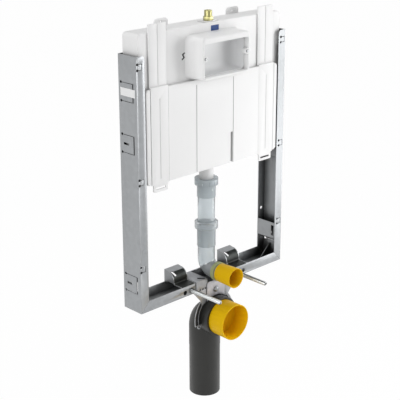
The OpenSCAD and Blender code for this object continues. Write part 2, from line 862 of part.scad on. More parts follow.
module outlet_gasket() {
    color(rubber_black) translate([0, pipe_y, tank_floor]) tube(spigot_r + gasket_w, spigot_r + run_gap, gasket_t);
}

// Cistern

module tank_front_outline(inset) {
    rounded_rect(-tank_half + inset, tank_z + inset, tank_half - inset, tank_top - inset, tank_corner_r - inset);
}

// The block that the tank fills; its raised front carries a recess behind each strap
module tank_block(inset) {
    belly_half = belly_w / 2;
    recess = strap_w / 2 + seat_gap + inset;
    plate_xz(upper_setback + inset, tank_back - upper_setback - 2 * inset) tank_front_outline(inset);
    difference() {
        plate_xz(inset, upper_setback) rounded_rect(-belly_half + inset, tank_z + inset,
            belly_half - inset, ledge_z - inset, tank_corner_r - inset);
        for (side = [-1, 1]) translate([side * strap_x - recess, -eps, tank_z - eps])
            cube([2 * recess, strap_t + inset + eps, ledge_z - tank_z + 2 * eps]);
    }
}

module tank_hollow() {
    difference() {
        tank_block(0);
        tank_block(tank_wall);
        translate([0, pipe_y, tank_z - eps]) cylinder(r = spigot_r + run_gap, h = tank_wall + 2 * eps);
        translate([0, inlet_y, tank_top - tank_wall - eps]) cylinder(r = neck_r + run_gap, h = tank_wall + 2 * eps + 2);
    }
}

module tank_rear_shell() {
    color(shell_white) {
        intersection() {
            tank_hollow();
            translate([-tank_w, parting_y, 0]) cube([2 * tank_w, frame_d, 2 * tank_top]);
        }
        both_sides() difference() {
            plate_xz(tank_back, frame_d - tank_back)
                rounded_rect(lug_x - lug_w / 2, tank_top - lug_drop, lug_x + lug_w / 2, lug_top, lug_corner_r);
            along_y(lug_x, tank_back - eps, lug_top - 10) cylinder(r = 3, h = frame_d - tank_back + 2 * eps);
        }
    }
}

module tank_front_shell() {
    pocket_x = belly_line_x - pocket_w;
    color(shell_white) difference() {
        union() {
            intersection() {
                tank_hollow();
                translate([-tank_w, parting_y - frame_d, 0]) cube([2 * tank_w, frame_d, 2 * tank_top]);
            }
            translate([pocket_x - tank_wall, tank_wall / 2, tank_z])
                cube([pocket_w + 2 * tank_wall, pocket_d + tank_wall / 2, pocket_h + tank_wall]);
        }
        translate([-hatch_w / 2, -eps, hatch_z]) cube([hatch_w, upper_in_front + 2 * eps, hatch_top - hatch_z]);
        for (side = [-1, 1]) translate([side * belly_line_x - belly_line_w / 2, -eps, tank_z - eps])
            cube([belly_line_w, belly_line_d + eps, ledge_z - tank_z - 12]);
        translate([pocket_x, -eps, tank_z - eps]) cube([pocket_w, pocket_d + eps, pocket_h + eps]);
        plate_xz(upper_setback - eps, tank_wall + 2 * eps)
            for (i = [0:len(mark_path) - 2]) square_bar_2d(mark_path[i], mark_path[i + 1], mark_w);
    }
}

module strap_shape() {
    depth = strap_t - seat_gap;
    half = strap_w / 2;
    groove = 1.2;
    groove_ends = 40;
    difference() {
        union() {
            translate([-half, 0, tank_z - 2]) cube([strap_w, depth, ledge_z - tank_z + 2]);
            translate([-half, 0, ledge_z]) cube([strap_w, upper_setback, depth]);
            translate([-half, upper_setback - depth, ledge_z]) cube([strap_w, depth, strap_top - ledge_z]);
            plate_xz(0, depth) rounded_rect(-half + 5, strap_low, half - 5, tank_z + 8, 4);
        }
        translate([-groove, -eps, tank_z + 12]) cube([2 * groove, groove + eps, ledge_z - tank_z - groove_ends]);
        translate([-groove, upper_setback - depth - eps, ledge_z + 2 * depth])
            cube([2 * groove, groove + eps, strap_top - ledge_z]);
        translate([-half + 12, -eps, strap_low + 7]) cube([strap_w - 24, depth + 2 * eps, 5]);
    }
}

module front_straps() {
    color(shell_white) for (side = [-1, 1]) translate([side * strap_x, 0, 0]) strap_shape();
}

module access_shroud() {
    half = shroud_w / 2;
    hatch_half = hatch_w / 2;
    depth = shroud_out + upper_setback;
    w = shroud_wall;
    color(shell_white) {
        difference() {
            plate_xz(-shroud_out, depth) rounded_rect(-half, shroud_z, half, shroud_top, shroud_fill_r);
            translate([-hatch_half, -shroud_out - eps, hatch_z]) cube([hatch_w, depth + 2 * eps, hatch_top - hatch_z]);
            plate_xz(-shroud_out + w, depth) difference() {
                rounded_rect(-half + w, shroud_z + w, half - w, shroud_top - w, shroud_fill_r - w);
                translate([-hatch_half - w, hatch_z - w]) square([hatch_w + 2 * w, hatch_top - hatch_z + 2 * w]);
            }
        }
        both_sides() along_y(lug_hole_x, -shroud_out, hatch_mid) tube(lug_r, 2 + run_gap, lug_l);
    }
}

module shroud_screws() {
    color([0.72, 0.72, 0.72]) both_sides() along_y(lug_hole_x, -shroud_out - 2, hatch_mid) {
        cylinder(r = 3.6, h = 2);
        cylinder(r = 2, h = lug_l);
    }
}

// The guard is a tub that lines the opening behind the screw lugs
module splash_guard() {
    front = -shroud_out + lug_l + 1;
    half = hatch_w / 2 - seat_gap;
    low = hatch_z + seat_gap;
    high = hatch_top - seat_gap;
    color([0.86, 0.86, 0.86]) difference() {
        plate_xz(front, upper_setback - front) rounded_rect(-half, low, half, high, guard_r);
        plate_xz(front - eps, upper_setback - front - guard_t + eps)
            rounded_rect(-half + guard_t, low + guard_t, half - guard_t, high - guard_t, guard_r - guard_t);
    }
}

// Water inlet and stop valve

module brass_inlet() {
    base = tank_top + plate_t;
    thread_z = base + inlet_collar_h;
    top = thread_z + inlet_thread_l;
    color(brass) translate([0, inlet_y, 0]) difference() {
        union() {
            translate([0, 0, base]) cylinder(d = collar_af / cos(30), h = inlet_collar_h, $fn = 6);
            translate([0, 0, thread_z]) cylinder(r = inlet_r, h = inlet_thread_l);
            translate([0, 0, neck_low]) cylinder(r = neck_r, h = base - neck_low);
        }
        translate([0, 0, thread_z]) cylinder(r = inlet_bore_r, h = inlet_thread_l + eps);
        translate([0, 0, neck_low - eps]) cylinder(r = 5, h = top - neck_low);
    }
}

module inlet_plate() {
    plate_w = 52;
    plate_d = 26;
    color([0.62, 0.62, 0.64]) translate([0, inlet_y, tank_top]) difference() {
        translate([-plate_w / 2, -12, 0]) cube([plate_w, plate_d, plate_t]);
        translate([0, 0, -eps]) cylinder(r = neck_r + run_gap, h = plate_t + 2 * eps);
    }
}

module inlet_gasket() {
    color(rubber_black) translate([0, inlet_y, tank_top - tank_wall - gasket_t]) tube(13, neck_r + run_gap, gasket_t);
}

module inlet_nut() {
    nut_h = 6;
    color(brass) translate([0, inlet_y, tank_top - tank_wall - gasket_t - nut_h])
        hex_nut(23, neck_r + run_gap, nut_h);
}

module stop_valve() {
    low = stop_z - 12;
    color(brass) translate([0, inlet_y, 0]) difference() {
        union() {
            translate([0, 0, low]) cylinder(r = stop_r, h = neck_low + 4 - low);
            translate([0, -inlet_y, 0]) along_y(0, boss_front, stop_z) cylinder(r = 7, h = inlet_y - boss_front);
            translate([0, -inlet_y, 0]) along_x(-stop_r - 6, inlet_y, stop_z) cylinder(r = 7, h = stop_r + 6);
        }
        translate([0, 0, neck_low]) cylinder(r = neck_r + run_gap, h = 4 + eps);
        translate([0, 0, stop_z]) cylinder(r = 5, h = neck_low - stop_z + eps);
        translate([0, -inlet_y, 0]) along_y(0, boss_front - eps, stop_z) cylinder(r = 3 + run_gap, h = 12);
        translate([0, -inlet_y, 0]) along_x(-stop_r - 6 - eps, inlet_y, stop_z) cylinder(r = 4.5 + run_gap, h = 8);
    }
}

// The knob has a slot for a screwdriver, as there is no room for fingers behind the guard
module stop_knob() {
    knob_t = boss_front - upper_setback - 3 * seat_gap;
    knob_y = upper_setback + 2 * seat_gap;
    slot_w = 2;
    slot_d = 1.5;
    color(valve_blue) difference() {
        union() {
            along_y(0, knob_y, stop_z) cylinder(r = knob_r, h = knob_t);
            along_y(0, boss_front - seat_gap - eps, stop_z) cylinder(r = 3, h = 9);
        }
        translate([-slot_w / 2, knob_y - eps, stop_z - knob_r - eps]) cube([slot_w, slot_d + eps, 2 * knob_r + 2 * eps]);
    }
}

module supply_tube() {
    color([0.85, 0.85, 0.86]) along_x(-fill_x + 8, inlet_y, stop_z)
        tube(4.5, 3, fill_x - 8 - stop_r);
}

// Fill valve

module fill_valve() {
    head_r = 13;
    head_top = stop_z + 10;
    color([0.88, 0.88, 0.86]) {
        translate([-fill_x, inlet_y, 0]) difference() {
            union() {
                translate([0, 0, fill_low - 4]) cylinder(r = fill_r + 4, h = 4);
                translate([0, 0, fill_low - eps]) cylinder(r = fill_r, h = fill_head_z - fill_low + 2 * eps);
                translate([0, 0, fill_head_z]) cylinder(r = head_r, h = head_top - fill_head_z);
            }
            translate([0, 0, fill_low - 4 - eps]) cylinder(r = fill_r - 2.5, h = fill_head_z - fill_low);
            along_x(fill_r - eps - 1, 0, stop_z) cylinder(r = 4.5 + run_gap, h = 8);
        }
        plate_xz(lever_y - lever_t - seat_gap - 3, 3) bar_2d([-fill_x, float_pin_z], [float_pin_x, float_pin_z], 9);
        along_y(float_pin_x, lever_y - lever_t - seat_gap - 3, float_pin_z) cylinder(r = pin_r, h = lever_t + 3 + 2);
    }
}

module fill_bracket() {
    ring_h = 12;
    drop = 46;
    z = fill_head_z - drop;
    color([0.80, 0.80, 0.80]) {
        translate([-fill_x, inlet_y, z]) tube(fill_r + 4, fill_r + run_gap, ring_h);
        translate([-fill_x - 4, inlet_y + fill_r + 2, z]) cube([8, tank_in_back - 2 - inlet_y - fill_r - 2 + eps, ring_h]);
        translate([-fill_x - 20, tank_in_back - 2, z - 10]) cube([40, 2, 32]);
    }
}

module float() {
    rod_r = 2;
    stop_gap = 4.2;
    color([0.55, 0.70, 0.82]) {
        translate([-fill_x, inlet_y, float_z]) tube(float_r, fill_r + run_gap, float_h);
        translate([0, 0, float_z + float_h - 5]) linear_extrude(5)
            bar_2d([-fill_x + float_r - 3, lever_y], [float_rod_x, lever_y], 8);
        translate([float_rod_x, lever_y, float_z + float_h - 1])
            cylinder(r = rod_r, h = float_eye_z + 9 - float_z - float_h);
        for (z = [float_eye_z - stop_gap - 2, float_eye_z + stop_gap])
            translate([float_rod_x, lever_y, z]) cylinder(r = 5.5, h = 2);
    }
}

module float_lever() {
    slot_x = float_arm - 3.2;
    slot_l = 7.6;
    arm_x = 3.5;
    color([0.90, 0.90, 0.88]) translate([float_pin_x, lever_y, float_pin_z]) rotate([0, float_angle / 2, 0])
        difference() {
            union() {
                along_y(0, -lever_t, 0) cylinder(r = 5, h = lever_t + 2);
                translate([arm_x, -4, -2]) cube([slot_x + slot_l + 2.2 - arm_x, 8, 4]);
            }
            translate([slot_x, -2.6, -5]) cube([slot_l, 5.2, 10]);
            along_y(0, -lever_t - eps, 0) cylinder(r = pin_r + run_gap, h = lever_t + 2 + 2 * eps);
        }
}

// Flush valve

module valve_basket() {
    guide_h = 10;
    color([0.86, 0.87, 0.88]) translate([0, pipe_y, 0]) {
        translate([0, 0, seat_z]) tube(basket_r, spigot_bore_r, 3);
        for (a = [45:90:359]) rotate(a) translate([ring_r, 0, seat_z + 2]) cylinder(r = post_r, h = basket_top - seat_z - 2);
        translate([0, 0, basket_top - guide_h]) tube(basket_r, lift_r + run_gap, guide_h);
    }
}

module outlet_seal() {
    color(rubber_black) translate([0, pipe_y, disc_z]) tube(seal_r, lift_r - 1, seal_t);
}

module lift_tube() {
    disc_top = disc_z + seal_t;
    color([0.30, 0.50, 0.70]) translate([0, pipe_y, 0]) {
        difference() {
            union() {
                translate([0, 0, disc_z]) cylinder(r = lift_r - 1, h = 3);
                translate([0, 0, disc_top]) cylinder(r = seal_r - 1, h = 3);
                translate([0, 0, disc_top + 1]) cylinder(r = lift_r, h = crossbar_z + 8 - disc_top);
                translate([-crossbar_half, -2.5, crossbar_z]) cube([2 * crossbar_half, 5, 4]);
            }
            translate([0, 0, disc_z - eps]) cylinder(r = lift_bore_r, h = crossbar_z);
        }
    }
}

module lever_bracket() {
    post_out = lever_post_x + lever_post_t;
    color([0.80, 0.80, 0.80]) {
        translate([-post_out, tank_in_back - 2, pivot_z - 14]) cube([2 * post_out, 2, 28]);
        both_sides() plate_yz(lever_post_x, lever_post_t) difference() {
            translate([pivot_y - 7, pivot_z - 9]) square([lever_back_gap + 7 - 1, 18]);
            translate([pivot_y, pivot_z]) circle(lever_pin_r + run_gap);
        }
    }
}

module lift_lever() {
    arm_x = 17;
    arm_t = 5;
    pin_half = lever_post_x + lever_post_t - eps;
    pad = [pivot_y - 37, pivot_z + 30];
    color([0.90, 0.55, 0.20]) {
        along_x(-pin_half, pivot_y, pivot_z) cylinder(r = lever_pin_r, h = 2 * pin_half);
        both_sides() {
            plate_yz(arm_x, arm_t) {
                bar_2d([pivot_y, pivot_z], [pipe_y, nub_z], 4.4);
                translate([pipe_y, nub_z]) circle(nub_r);
                bar_2d([pivot_y, pivot_z], [pivot_y - 14, pivot_z + 30], 5);
                bar_2d([pivot_y - 14, pivot_z + 30], pad, 5);
            }
            translate([arm_x - 1, pad[0] - 3, pad[1] - 8]) cube([12, 3, 18]);
        }
    }
}

// Plates that carry no marks

module blank_badge() {
    color([0.10, 0.20, 0.55]) plate_xz(upper_setback - 0.8, 0.8)
        translate([badge_x - badge_w / 2, shroud_top + badge_gap]) rounded_rect(0, 0, badge_w, badge_h, 1);
}

module blank_label() {
    color([0.95, 0.95, 0.95]) translate([-half_w - label_t, label_gap, flap_heights[0] - label_h / 2])
        cube([label_t, frame_d - 2 * label_gap, label_h]);
}

left_upright();
right_upright();
bottom_rail();
corner_gussets();
channel_ties();
tank_carriers();
stud_hoods();
pan_studs();
stud_nuts();
drain_holder();
holder_pad();
holder_bolt();
holder_nut();
drain_lining();
drain_bend();
drain_seal();
drain_cap();
flush_cap();
flush_elbow();
elbow_seal();
lower_sleeve();
lower_union_nut();
flush_pipe();
upper_sleeve();
upper_union_nut();
outlet_spigot();
outlet_gasket();
tank_rear_shell();
tank_front_shell();
front_straps();
access_shroud();
shroud_screws();
splash_guard();
brass_inlet();
inlet_plate();
inlet_gasket();
inlet_nut();
stop_valve();
stop_knob();
supply_tube();
fill_valve();
fill_bracket();
float();
float_lever();
valve_basket();
lift_tube();
outlet_seal();
lever_bracket();
lift_lever();
blank_badge();
blank_label();
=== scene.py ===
"""Dresses an in-wall frame with a slim cistern: sheet metal, tank, pipes, caps and valves."""

import json
import logging
import math
from dataclasses import dataclass
from enum import Enum
from functools import cached_property
from typing import Any, Callable, Iterable, NamedTuple, Sequence

import bmesh
import bpy
from mathutils import Matrix, Vector

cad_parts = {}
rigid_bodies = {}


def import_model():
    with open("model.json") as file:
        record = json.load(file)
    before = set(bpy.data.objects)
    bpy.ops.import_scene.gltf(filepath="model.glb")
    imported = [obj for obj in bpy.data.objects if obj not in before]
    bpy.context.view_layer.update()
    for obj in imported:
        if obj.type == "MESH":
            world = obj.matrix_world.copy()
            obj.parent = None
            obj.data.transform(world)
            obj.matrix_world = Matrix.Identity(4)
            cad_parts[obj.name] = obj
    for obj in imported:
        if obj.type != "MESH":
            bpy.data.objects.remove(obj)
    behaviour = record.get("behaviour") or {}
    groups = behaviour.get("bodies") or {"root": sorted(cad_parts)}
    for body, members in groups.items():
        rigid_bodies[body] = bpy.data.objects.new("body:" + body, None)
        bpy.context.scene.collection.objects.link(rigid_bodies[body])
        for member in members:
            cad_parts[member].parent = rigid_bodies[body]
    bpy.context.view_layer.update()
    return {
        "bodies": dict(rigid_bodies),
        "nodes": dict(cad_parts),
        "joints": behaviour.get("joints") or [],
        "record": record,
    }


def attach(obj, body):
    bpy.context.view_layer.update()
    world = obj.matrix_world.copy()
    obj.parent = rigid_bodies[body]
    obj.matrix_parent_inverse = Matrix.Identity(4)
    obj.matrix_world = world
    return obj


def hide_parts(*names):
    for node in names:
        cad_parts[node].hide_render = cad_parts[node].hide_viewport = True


LOG = logging.getLogger("cistern_frame")
Triple = tuple[float, float, float]
Pair = tuple[float, float]
Box = tuple[Pair, Pair]

MM = 0.001
WHITE = (1.0, 1.0, 1.0, 1.0)

# Distances under which two corners are one: in metres in a CAD node, in millimetres in a new shape
SAME_CORNER = 2e-6
SAME_POINT = 1e-4

# Angles between two faces in degrees, under which they are one flat face or are shaded smoothly,
# and over which the edge between them is rounded
FLAT_UNDER = 1.0
SMOOTH_UNDER = 38.0
SHARP_OVER = 30.0
VERY_SHARP_OVER = 60.0


class Axis(Enum):
    """A direction of the object."""

    RIGHT = (1.0, 0.0, 0.0)
    BACK = (0.0, 1.0, 0.0)


class Ray(Enum):
    """A kind of light ray, by its output of the Light Path node."""

    CAMERA = "Is Camera Ray"
    GLOSSY = "Is Glossy Ray"
    TRANSMISSION = "Is Transmission Ray"


# Shader graphs


class Sock:
    """A shader socket that takes part in Python sums."""

    def __init__(self, graph: "Graph", socket: Any) -> None:
        """Wraps one output socket.

        Args:
            graph: The graph that the socket belongs to.
            socket: The output socket.
        """
        self.graph = graph
        self.socket = socket

    def _sum(self, operation: str, first: Any, second: Any) -> "Sock":
        """Adds one Math node.

        Args:
            operation: The Math node's operation.
            first: The first value or socket.
            second: The second value or socket.

        Returns:
            The result's socket.
        """
        return self.graph.node("ShaderNodeMath", {"operation": operation}, {0: first, 1: second})

    def __add__(self, other: Any) -> "Sock":
        """Sum."""
        return self._sum("ADD", self, other)

    __radd__ = __add__

    def __mul__(self, other: Any) -> "Sock":
        """Product."""
        return self._sum("MULTIPLY", self, other)

    __rmul__ = __mul__

    def over(self, other: Any) -> "Sock":
        """Returns the larger of this and another value."""
        return self._sum("MAXIMUM", self, other)


class Graph:
    """The node tree of a material or the world, with one method that makes any node."""

    def __init__(self, owner: Any) -> None:
        """Empties the owner's node tree.

        Args:
            owner: A new material or world.
        """
        owner.use_nodes = True
        self.owner = owner
        self.tree = owner.node_tree
        self.tree.nodes.clear()

    @classmethod
    def of_material(cls, name: str) -> "Graph":
        """Starts an empty material of the given name."""
        return cls(bpy.data.materials.new(name))

    @cached_property
    def place(self) -> Sock:
        """The point of the object that is shaded."""
        return self.node("ShaderNodeTexCoord", output="Object")

    def node(
        self,
        kind: str,
        settings: dict[str, Any] | None = None,
        sockets: dict[Any, Any] | None = None,
        output: Any = 0,
    ) -> Sock:
        """Adds a node.

        Args:
            kind: The node's type.
            settings: Properties that are set first, such as an operation.
            sockets: Values or links by the socket's name or number.
            output: The name or number of the output that is returned.

        Returns:
            The chosen output.
        """
        made = self.tree.nodes.new(kind)
        for key, value in (settings or {}).items():
            setattr(made, key, value)
        for key, value in (sockets or {}).items():
            if isinstance(value, Sock):
                self.tree.links.new(value.socket, made.inputs[key])
            else:
                made.inputs[key].default_value = value
        return Sock(self, made.outputs[output])

    def noise(
        self,
        scale: float,
        detail: float,
        rough: float = 0.55,
        stretch: Triple = (1.0, 1.0, 1.0),
    ) -> Sock:
        """Noise over the object.

        Args:
            scale: Number of blobs per metre.
            detail: Number of octaves.
            rough: Weight of the finer octaves.
            stretch: Scale along each axis.

        Returns:
            The noise's factor.
        """
        place = self.node("ShaderNodeMapping", None, {"Vector": self.place, "Scale": stretch})
        sockets = {"Vector": place, "Scale": scale, "Detail": detail, "Roughness": rough}
        return self.node("ShaderNodeTexNoise", None, sockets)

    def cells(self, scale: float) -> Sock:
        """Gives each cell of a Voronoi pattern one random number.

        Args:
            scale: Number of cells per metre.

        Returns:
            The cell's number, from 0 to 1.
        """
        sockets = {"Vector": self.place, "Scale": scale}
        tint = self.node("ShaderNodeTexVoronoi", None, sockets, "Color")
        return self.node("ShaderNodeSeparateColor", None, {0: tint})

    def span(self, value: Sock, low: Pair, high: Pair) -> Sock:
        """Maps a range of values to another, held at its ends.

        Args:
            value: The value to map.
            low: The value and the result at one end.
            high: The value and the result at the other end.

        Returns:
            The mapped value.
        """
        sockets = {0: value, 1: low[0], 2: high[0], 3: low[1], 4: high[1]}
        return self.node("ShaderNodeMapRange", None, sockets)

    def ray(self, kind: Ray) -> Sock:
        """Returns 1 for light rays of a kind and 0 for others."""
        return self.node("ShaderNodeLightPath", output=kind.value)

    def open_air(self, reach: float) -> Sock:
        """Returns how open the surface is over a reach in metres, from 0 in corners to 1."""
        return self.node("ShaderNodeAmbientOcclusion", {"samples": 8}, {"Distance": reach}, "AO")

    def blend(self, factor: Any, first: Any, second: Any) -> Sock:
        """Mixes two colours.

        Args:
            factor: Share of the second colour.
            first: A colour of three numbers, or a socket.
            second: A colour of three numbers, or a socket.

        Returns:
            The mixed colour.
        """
        colours = [c if isinstance(c, Sock) else (*c, 1.0) for c in (first, second)]
        sockets = {0: factor, 6: colours[0], 7: colours[1]}
        return self.node("ShaderNodeMix", {"data_type": "RGBA"}, sockets, 2)

    def bump(self, height: Sock, strength: float, distance: float) -> Sock:
        """Returns a normal that is bumped by a height, with the distance in metres."""
        sockets = {"Height": height, "Strength": strength, "Distance": distance}
        return self.node("ShaderNodeBump", None, sockets)

    def finish(self, sockets: dict[str, Any]) -> bpy.types.Material:
        """Closes the graph with a Principled shader.

        Args:
            sockets: Values or links of the shader's sockets.

        Returns:
            The finished material.
        """
        self.close(self.node("ShaderNodeBsdfPrincipled", None, sockets))
        return self.owner

    def close(self, shader: Sock, output: str = "ShaderNodeOutputMaterial") -> None:
        """Links a shader to an output node of the given type."""
        out = self.tree.nodes.new(output)
        self.tree.links.new(shader.socket, out.inputs[0])


def shade(colour: Triple, share: float) -> Triple:
    """Returns a colour times a share, with no part over 1."""
    return tuple(min(1.0, share * c) for c in colour)


@dataclass(frozen=True)
class SheetSteel:
    """Galvanised sheet with faint zinc flowers, rolling lines and painted shade in the channels
    and corners.

    Attributes:
        name: The material's name.
        colour: The sheet's colour.
        rough: Its roughness.
        metal: Its share of metal.
        flowers: Number of zinc flowers per metre.
        channel_shade: How bright the painted shade in the channels and corners is, as a share of
            the colour.
        reach: How far in metres a wall casts painted shade on the sheet.
    """

    name: str
    colour: Triple
    rough: float = 0.36
    metal: float = 0.45
    flowers: float = 90.0
    channel_shade: float = 0.07
    reach: float = 0.045

    def build(self) -> bpy.types.Material:
        """Builds the node graph.

        Returns:
            The material.
        """
        g = Graph.of_material(self.name)
        flower = g.cells(self.flowers)
        cloud = g.noise(scale=9.0, detail=4.0)
        grain = g.noise(scale=240.0, detail=2.0, rough=0.5, stretch=(1.0, 1.0, 0.06))
        dark, light = shade(self.colour, 0.95), shade(self.colour, 1.05)
        mottle = g.span(flower * 0.5 + cloud * 0.5, (0.25, 0.0), (0.75, 1.0))
        # Painted shade: in channels and corners, where walls close round the sheet, the colour is
        # darkened towards a set share of itself.
        unshaded = g.span(g.open_air(self.reach), (0.42, 0.0), (0.92, 1.0))
        colour = g.blend(unshaded, shade(self.colour, self.channel_shade), g.blend(mottle, dark, light))
        worn = flower * 0.3 + cloud * 0.7
        return g.finish({
            "Base Color": colour,
            "Metallic": self.metal,
            "Roughness": g.span(worn, (0.2, self.rough - 0.04), (0.8, self.rough + 0.08)),
            "Normal": g.bump(grain + flower * 0.2, strength=0.06, distance=0.0003),
        })


@dataclass(frozen=True)
class Moulded:
    """Moulded plastic with a fine skin texture, faint flow marks and, where set, painted shade in
    corners.

    Attributes:
        name: The material's name.
        colour: The plastic's colour.
        rough: Its roughness.
        coat: Weight of a gloss coat.
        vary: How far the flow marks go from the colour.
        skin: Strength of the skin texture.
        clear: How much light passes through.
        shine: Strength of the reflections.
        corner_shade: How bright the painted shade in corners is, as a share of the colour.
        reach: How far in metres a wall casts painted shade on the plastic.
    """

    name: str
    colour: Triple
    rough: float = 0.38
    coat: float = 0.0
    vary: float = 0.05
    skin: float = 0.10
    clear: float = 0.0
    shine: float = 0.5
    corner_shade: float = 1.0
    reach: float = 0.005

    def build(self) -> bpy.types.Material:
        """Builds the node graph.

        Returns:
            The material.
        """
        g = Graph.of_material(self.name)
        flow = g.noise(scale=14.0, detail=4.0)
        skin = g.noise(scale=900.0, detail=2.0)
        scuff = g.noise(scale=60.0, detail=6.0, rough=0.7, stretch=(1.0, 1.0, 0.35))
        dark, light = shade(self.colour, 1.0 - self.vary), shade(self.colour, 1.0 + self.vary)
        colour = g.blend(g.span(flow, (0.3, 0.0), (0.7, 1.0)), dark, light)
        # Painted shade: in corners and round parts that stand out, the plastic is darkened towards
        # a set share of its colour.
        if self.corner_shade < 1.0:
            unshaded = g.span(g.open_air(self.reach), (0.30, 0.0), (0.85, 1.0))
            colour = g.blend(unshaded, shade(self.colour, self.corner_shade), colour)
        sockets = {
            "Base Color": colour,
            "Roughness": g.span(scuff, (0.35, self.rough - 0.04), (0.75, self.rough + 0.08)),
            "Normal": g.bump(skin * 0.6 + flow * 0.4, strength=self.skin, distance=0.0003),
            "IOR": 1.5,
            "Specular IOR Level": self.shine,
        }
        if self.coat:
            sockets |= {"Coat Weight": self.coat, "Coat Roughness": 0.12}
        if self.clear:
            sockets |= {"Transmission Weight": self.clear}
        return g.finish(sockets)


@dataclass(frozen=True)
class Metal:
    """Turned or plated metal, with fine turning marks, a little tarnish and, where set, painted
    dark reflection streaks along a rod.

    Attributes:
        name: The material's name.
        colour: The metal's colour.
        tarnish: Its colour where it is dull.
        rough: Its roughness.
        reflection_streaks: How dark the painted reflection streaks along a rod are, or 0 for none.
    """

    name: str
    colour: Triple
    tarnish: Triple
    rough: float = 0.28
    reflection_streaks: float = 0.0

    def build(self) -> bpy.types.Material:
        """Builds the node graph.

        Returns:
            The material.
        """
        g = Graph.of_material(self.name)
        cloud = g.noise(scale=55.0, detail=5.0, rough=0.6)
        marks = g.noise(scale=700.0, detail=2.0, rough=0.5, stretch=(1.0, 1.0, 0.15))
        colour = g.blend(g.span(cloud, (0.45, 0.0), (0.75, 0.55)), self.colour, self.tarnish)
        # Painted reflection: dark streaks along a rod stand in for the dark surroundings that it
        # mirrors.
        if self.reflection_streaks > 0.0:
            lines = g.noise(scale=230.0, detail=1.0, rough=0.5, stretch=(1.0, 0.02, 1.0))
            dark = shade(self.tarnish, 1.0 - self.reflection_streaks)
            colour = g.blend(g.span(lines, (0.50, 0.0), (0.56, 1.0)), colour, dark)
        return g.finish({
            "Base Color": colour,
            "Metallic": 0.95,
            "Roughness": g.span(cloud, (0.3, self.rough), (0.8, self.rough + 0.16)),
            "Normal": g.bump(marks, strength=0.15, distance=0.0002),
        })


@dataclass(frozen=True)
class SoftRubber:
    """Matt rubber with a dusty bloom.

    Attributes:
        name: The material's name.
        colour: The rubber's colour.
        rough: Its roughness.
    """

    name: str
    colour: Triple
    rough: float = 0.7

    def build(self) -> bpy.types.Material:
        """Builds the node graph.

        Returns:
            The material.
        """
        g = Graph.of_material(self.name)
        bloom = g.noise(scale=70.0, detail=5.0, rough=0.7)
        fine = g.noise(scale=1200.0, detail=2.0)
        pale = tuple(min(1.0, c * 1.5 + 0.01) for c in self.colour)
        colour = g.blend(g.span(bloom, (0.4, 0.0), (0.8, 0.6)), self.colour, pale)
        return g.finish({
            "Base Color": colour,
            "Roughness": g.span(bloom, (0.3, self.rough - 0.05), (0.7, self.rough + 0.1)),
            "Normal": g.bump(fine, strength=0.2, distance=0.0002),
        })


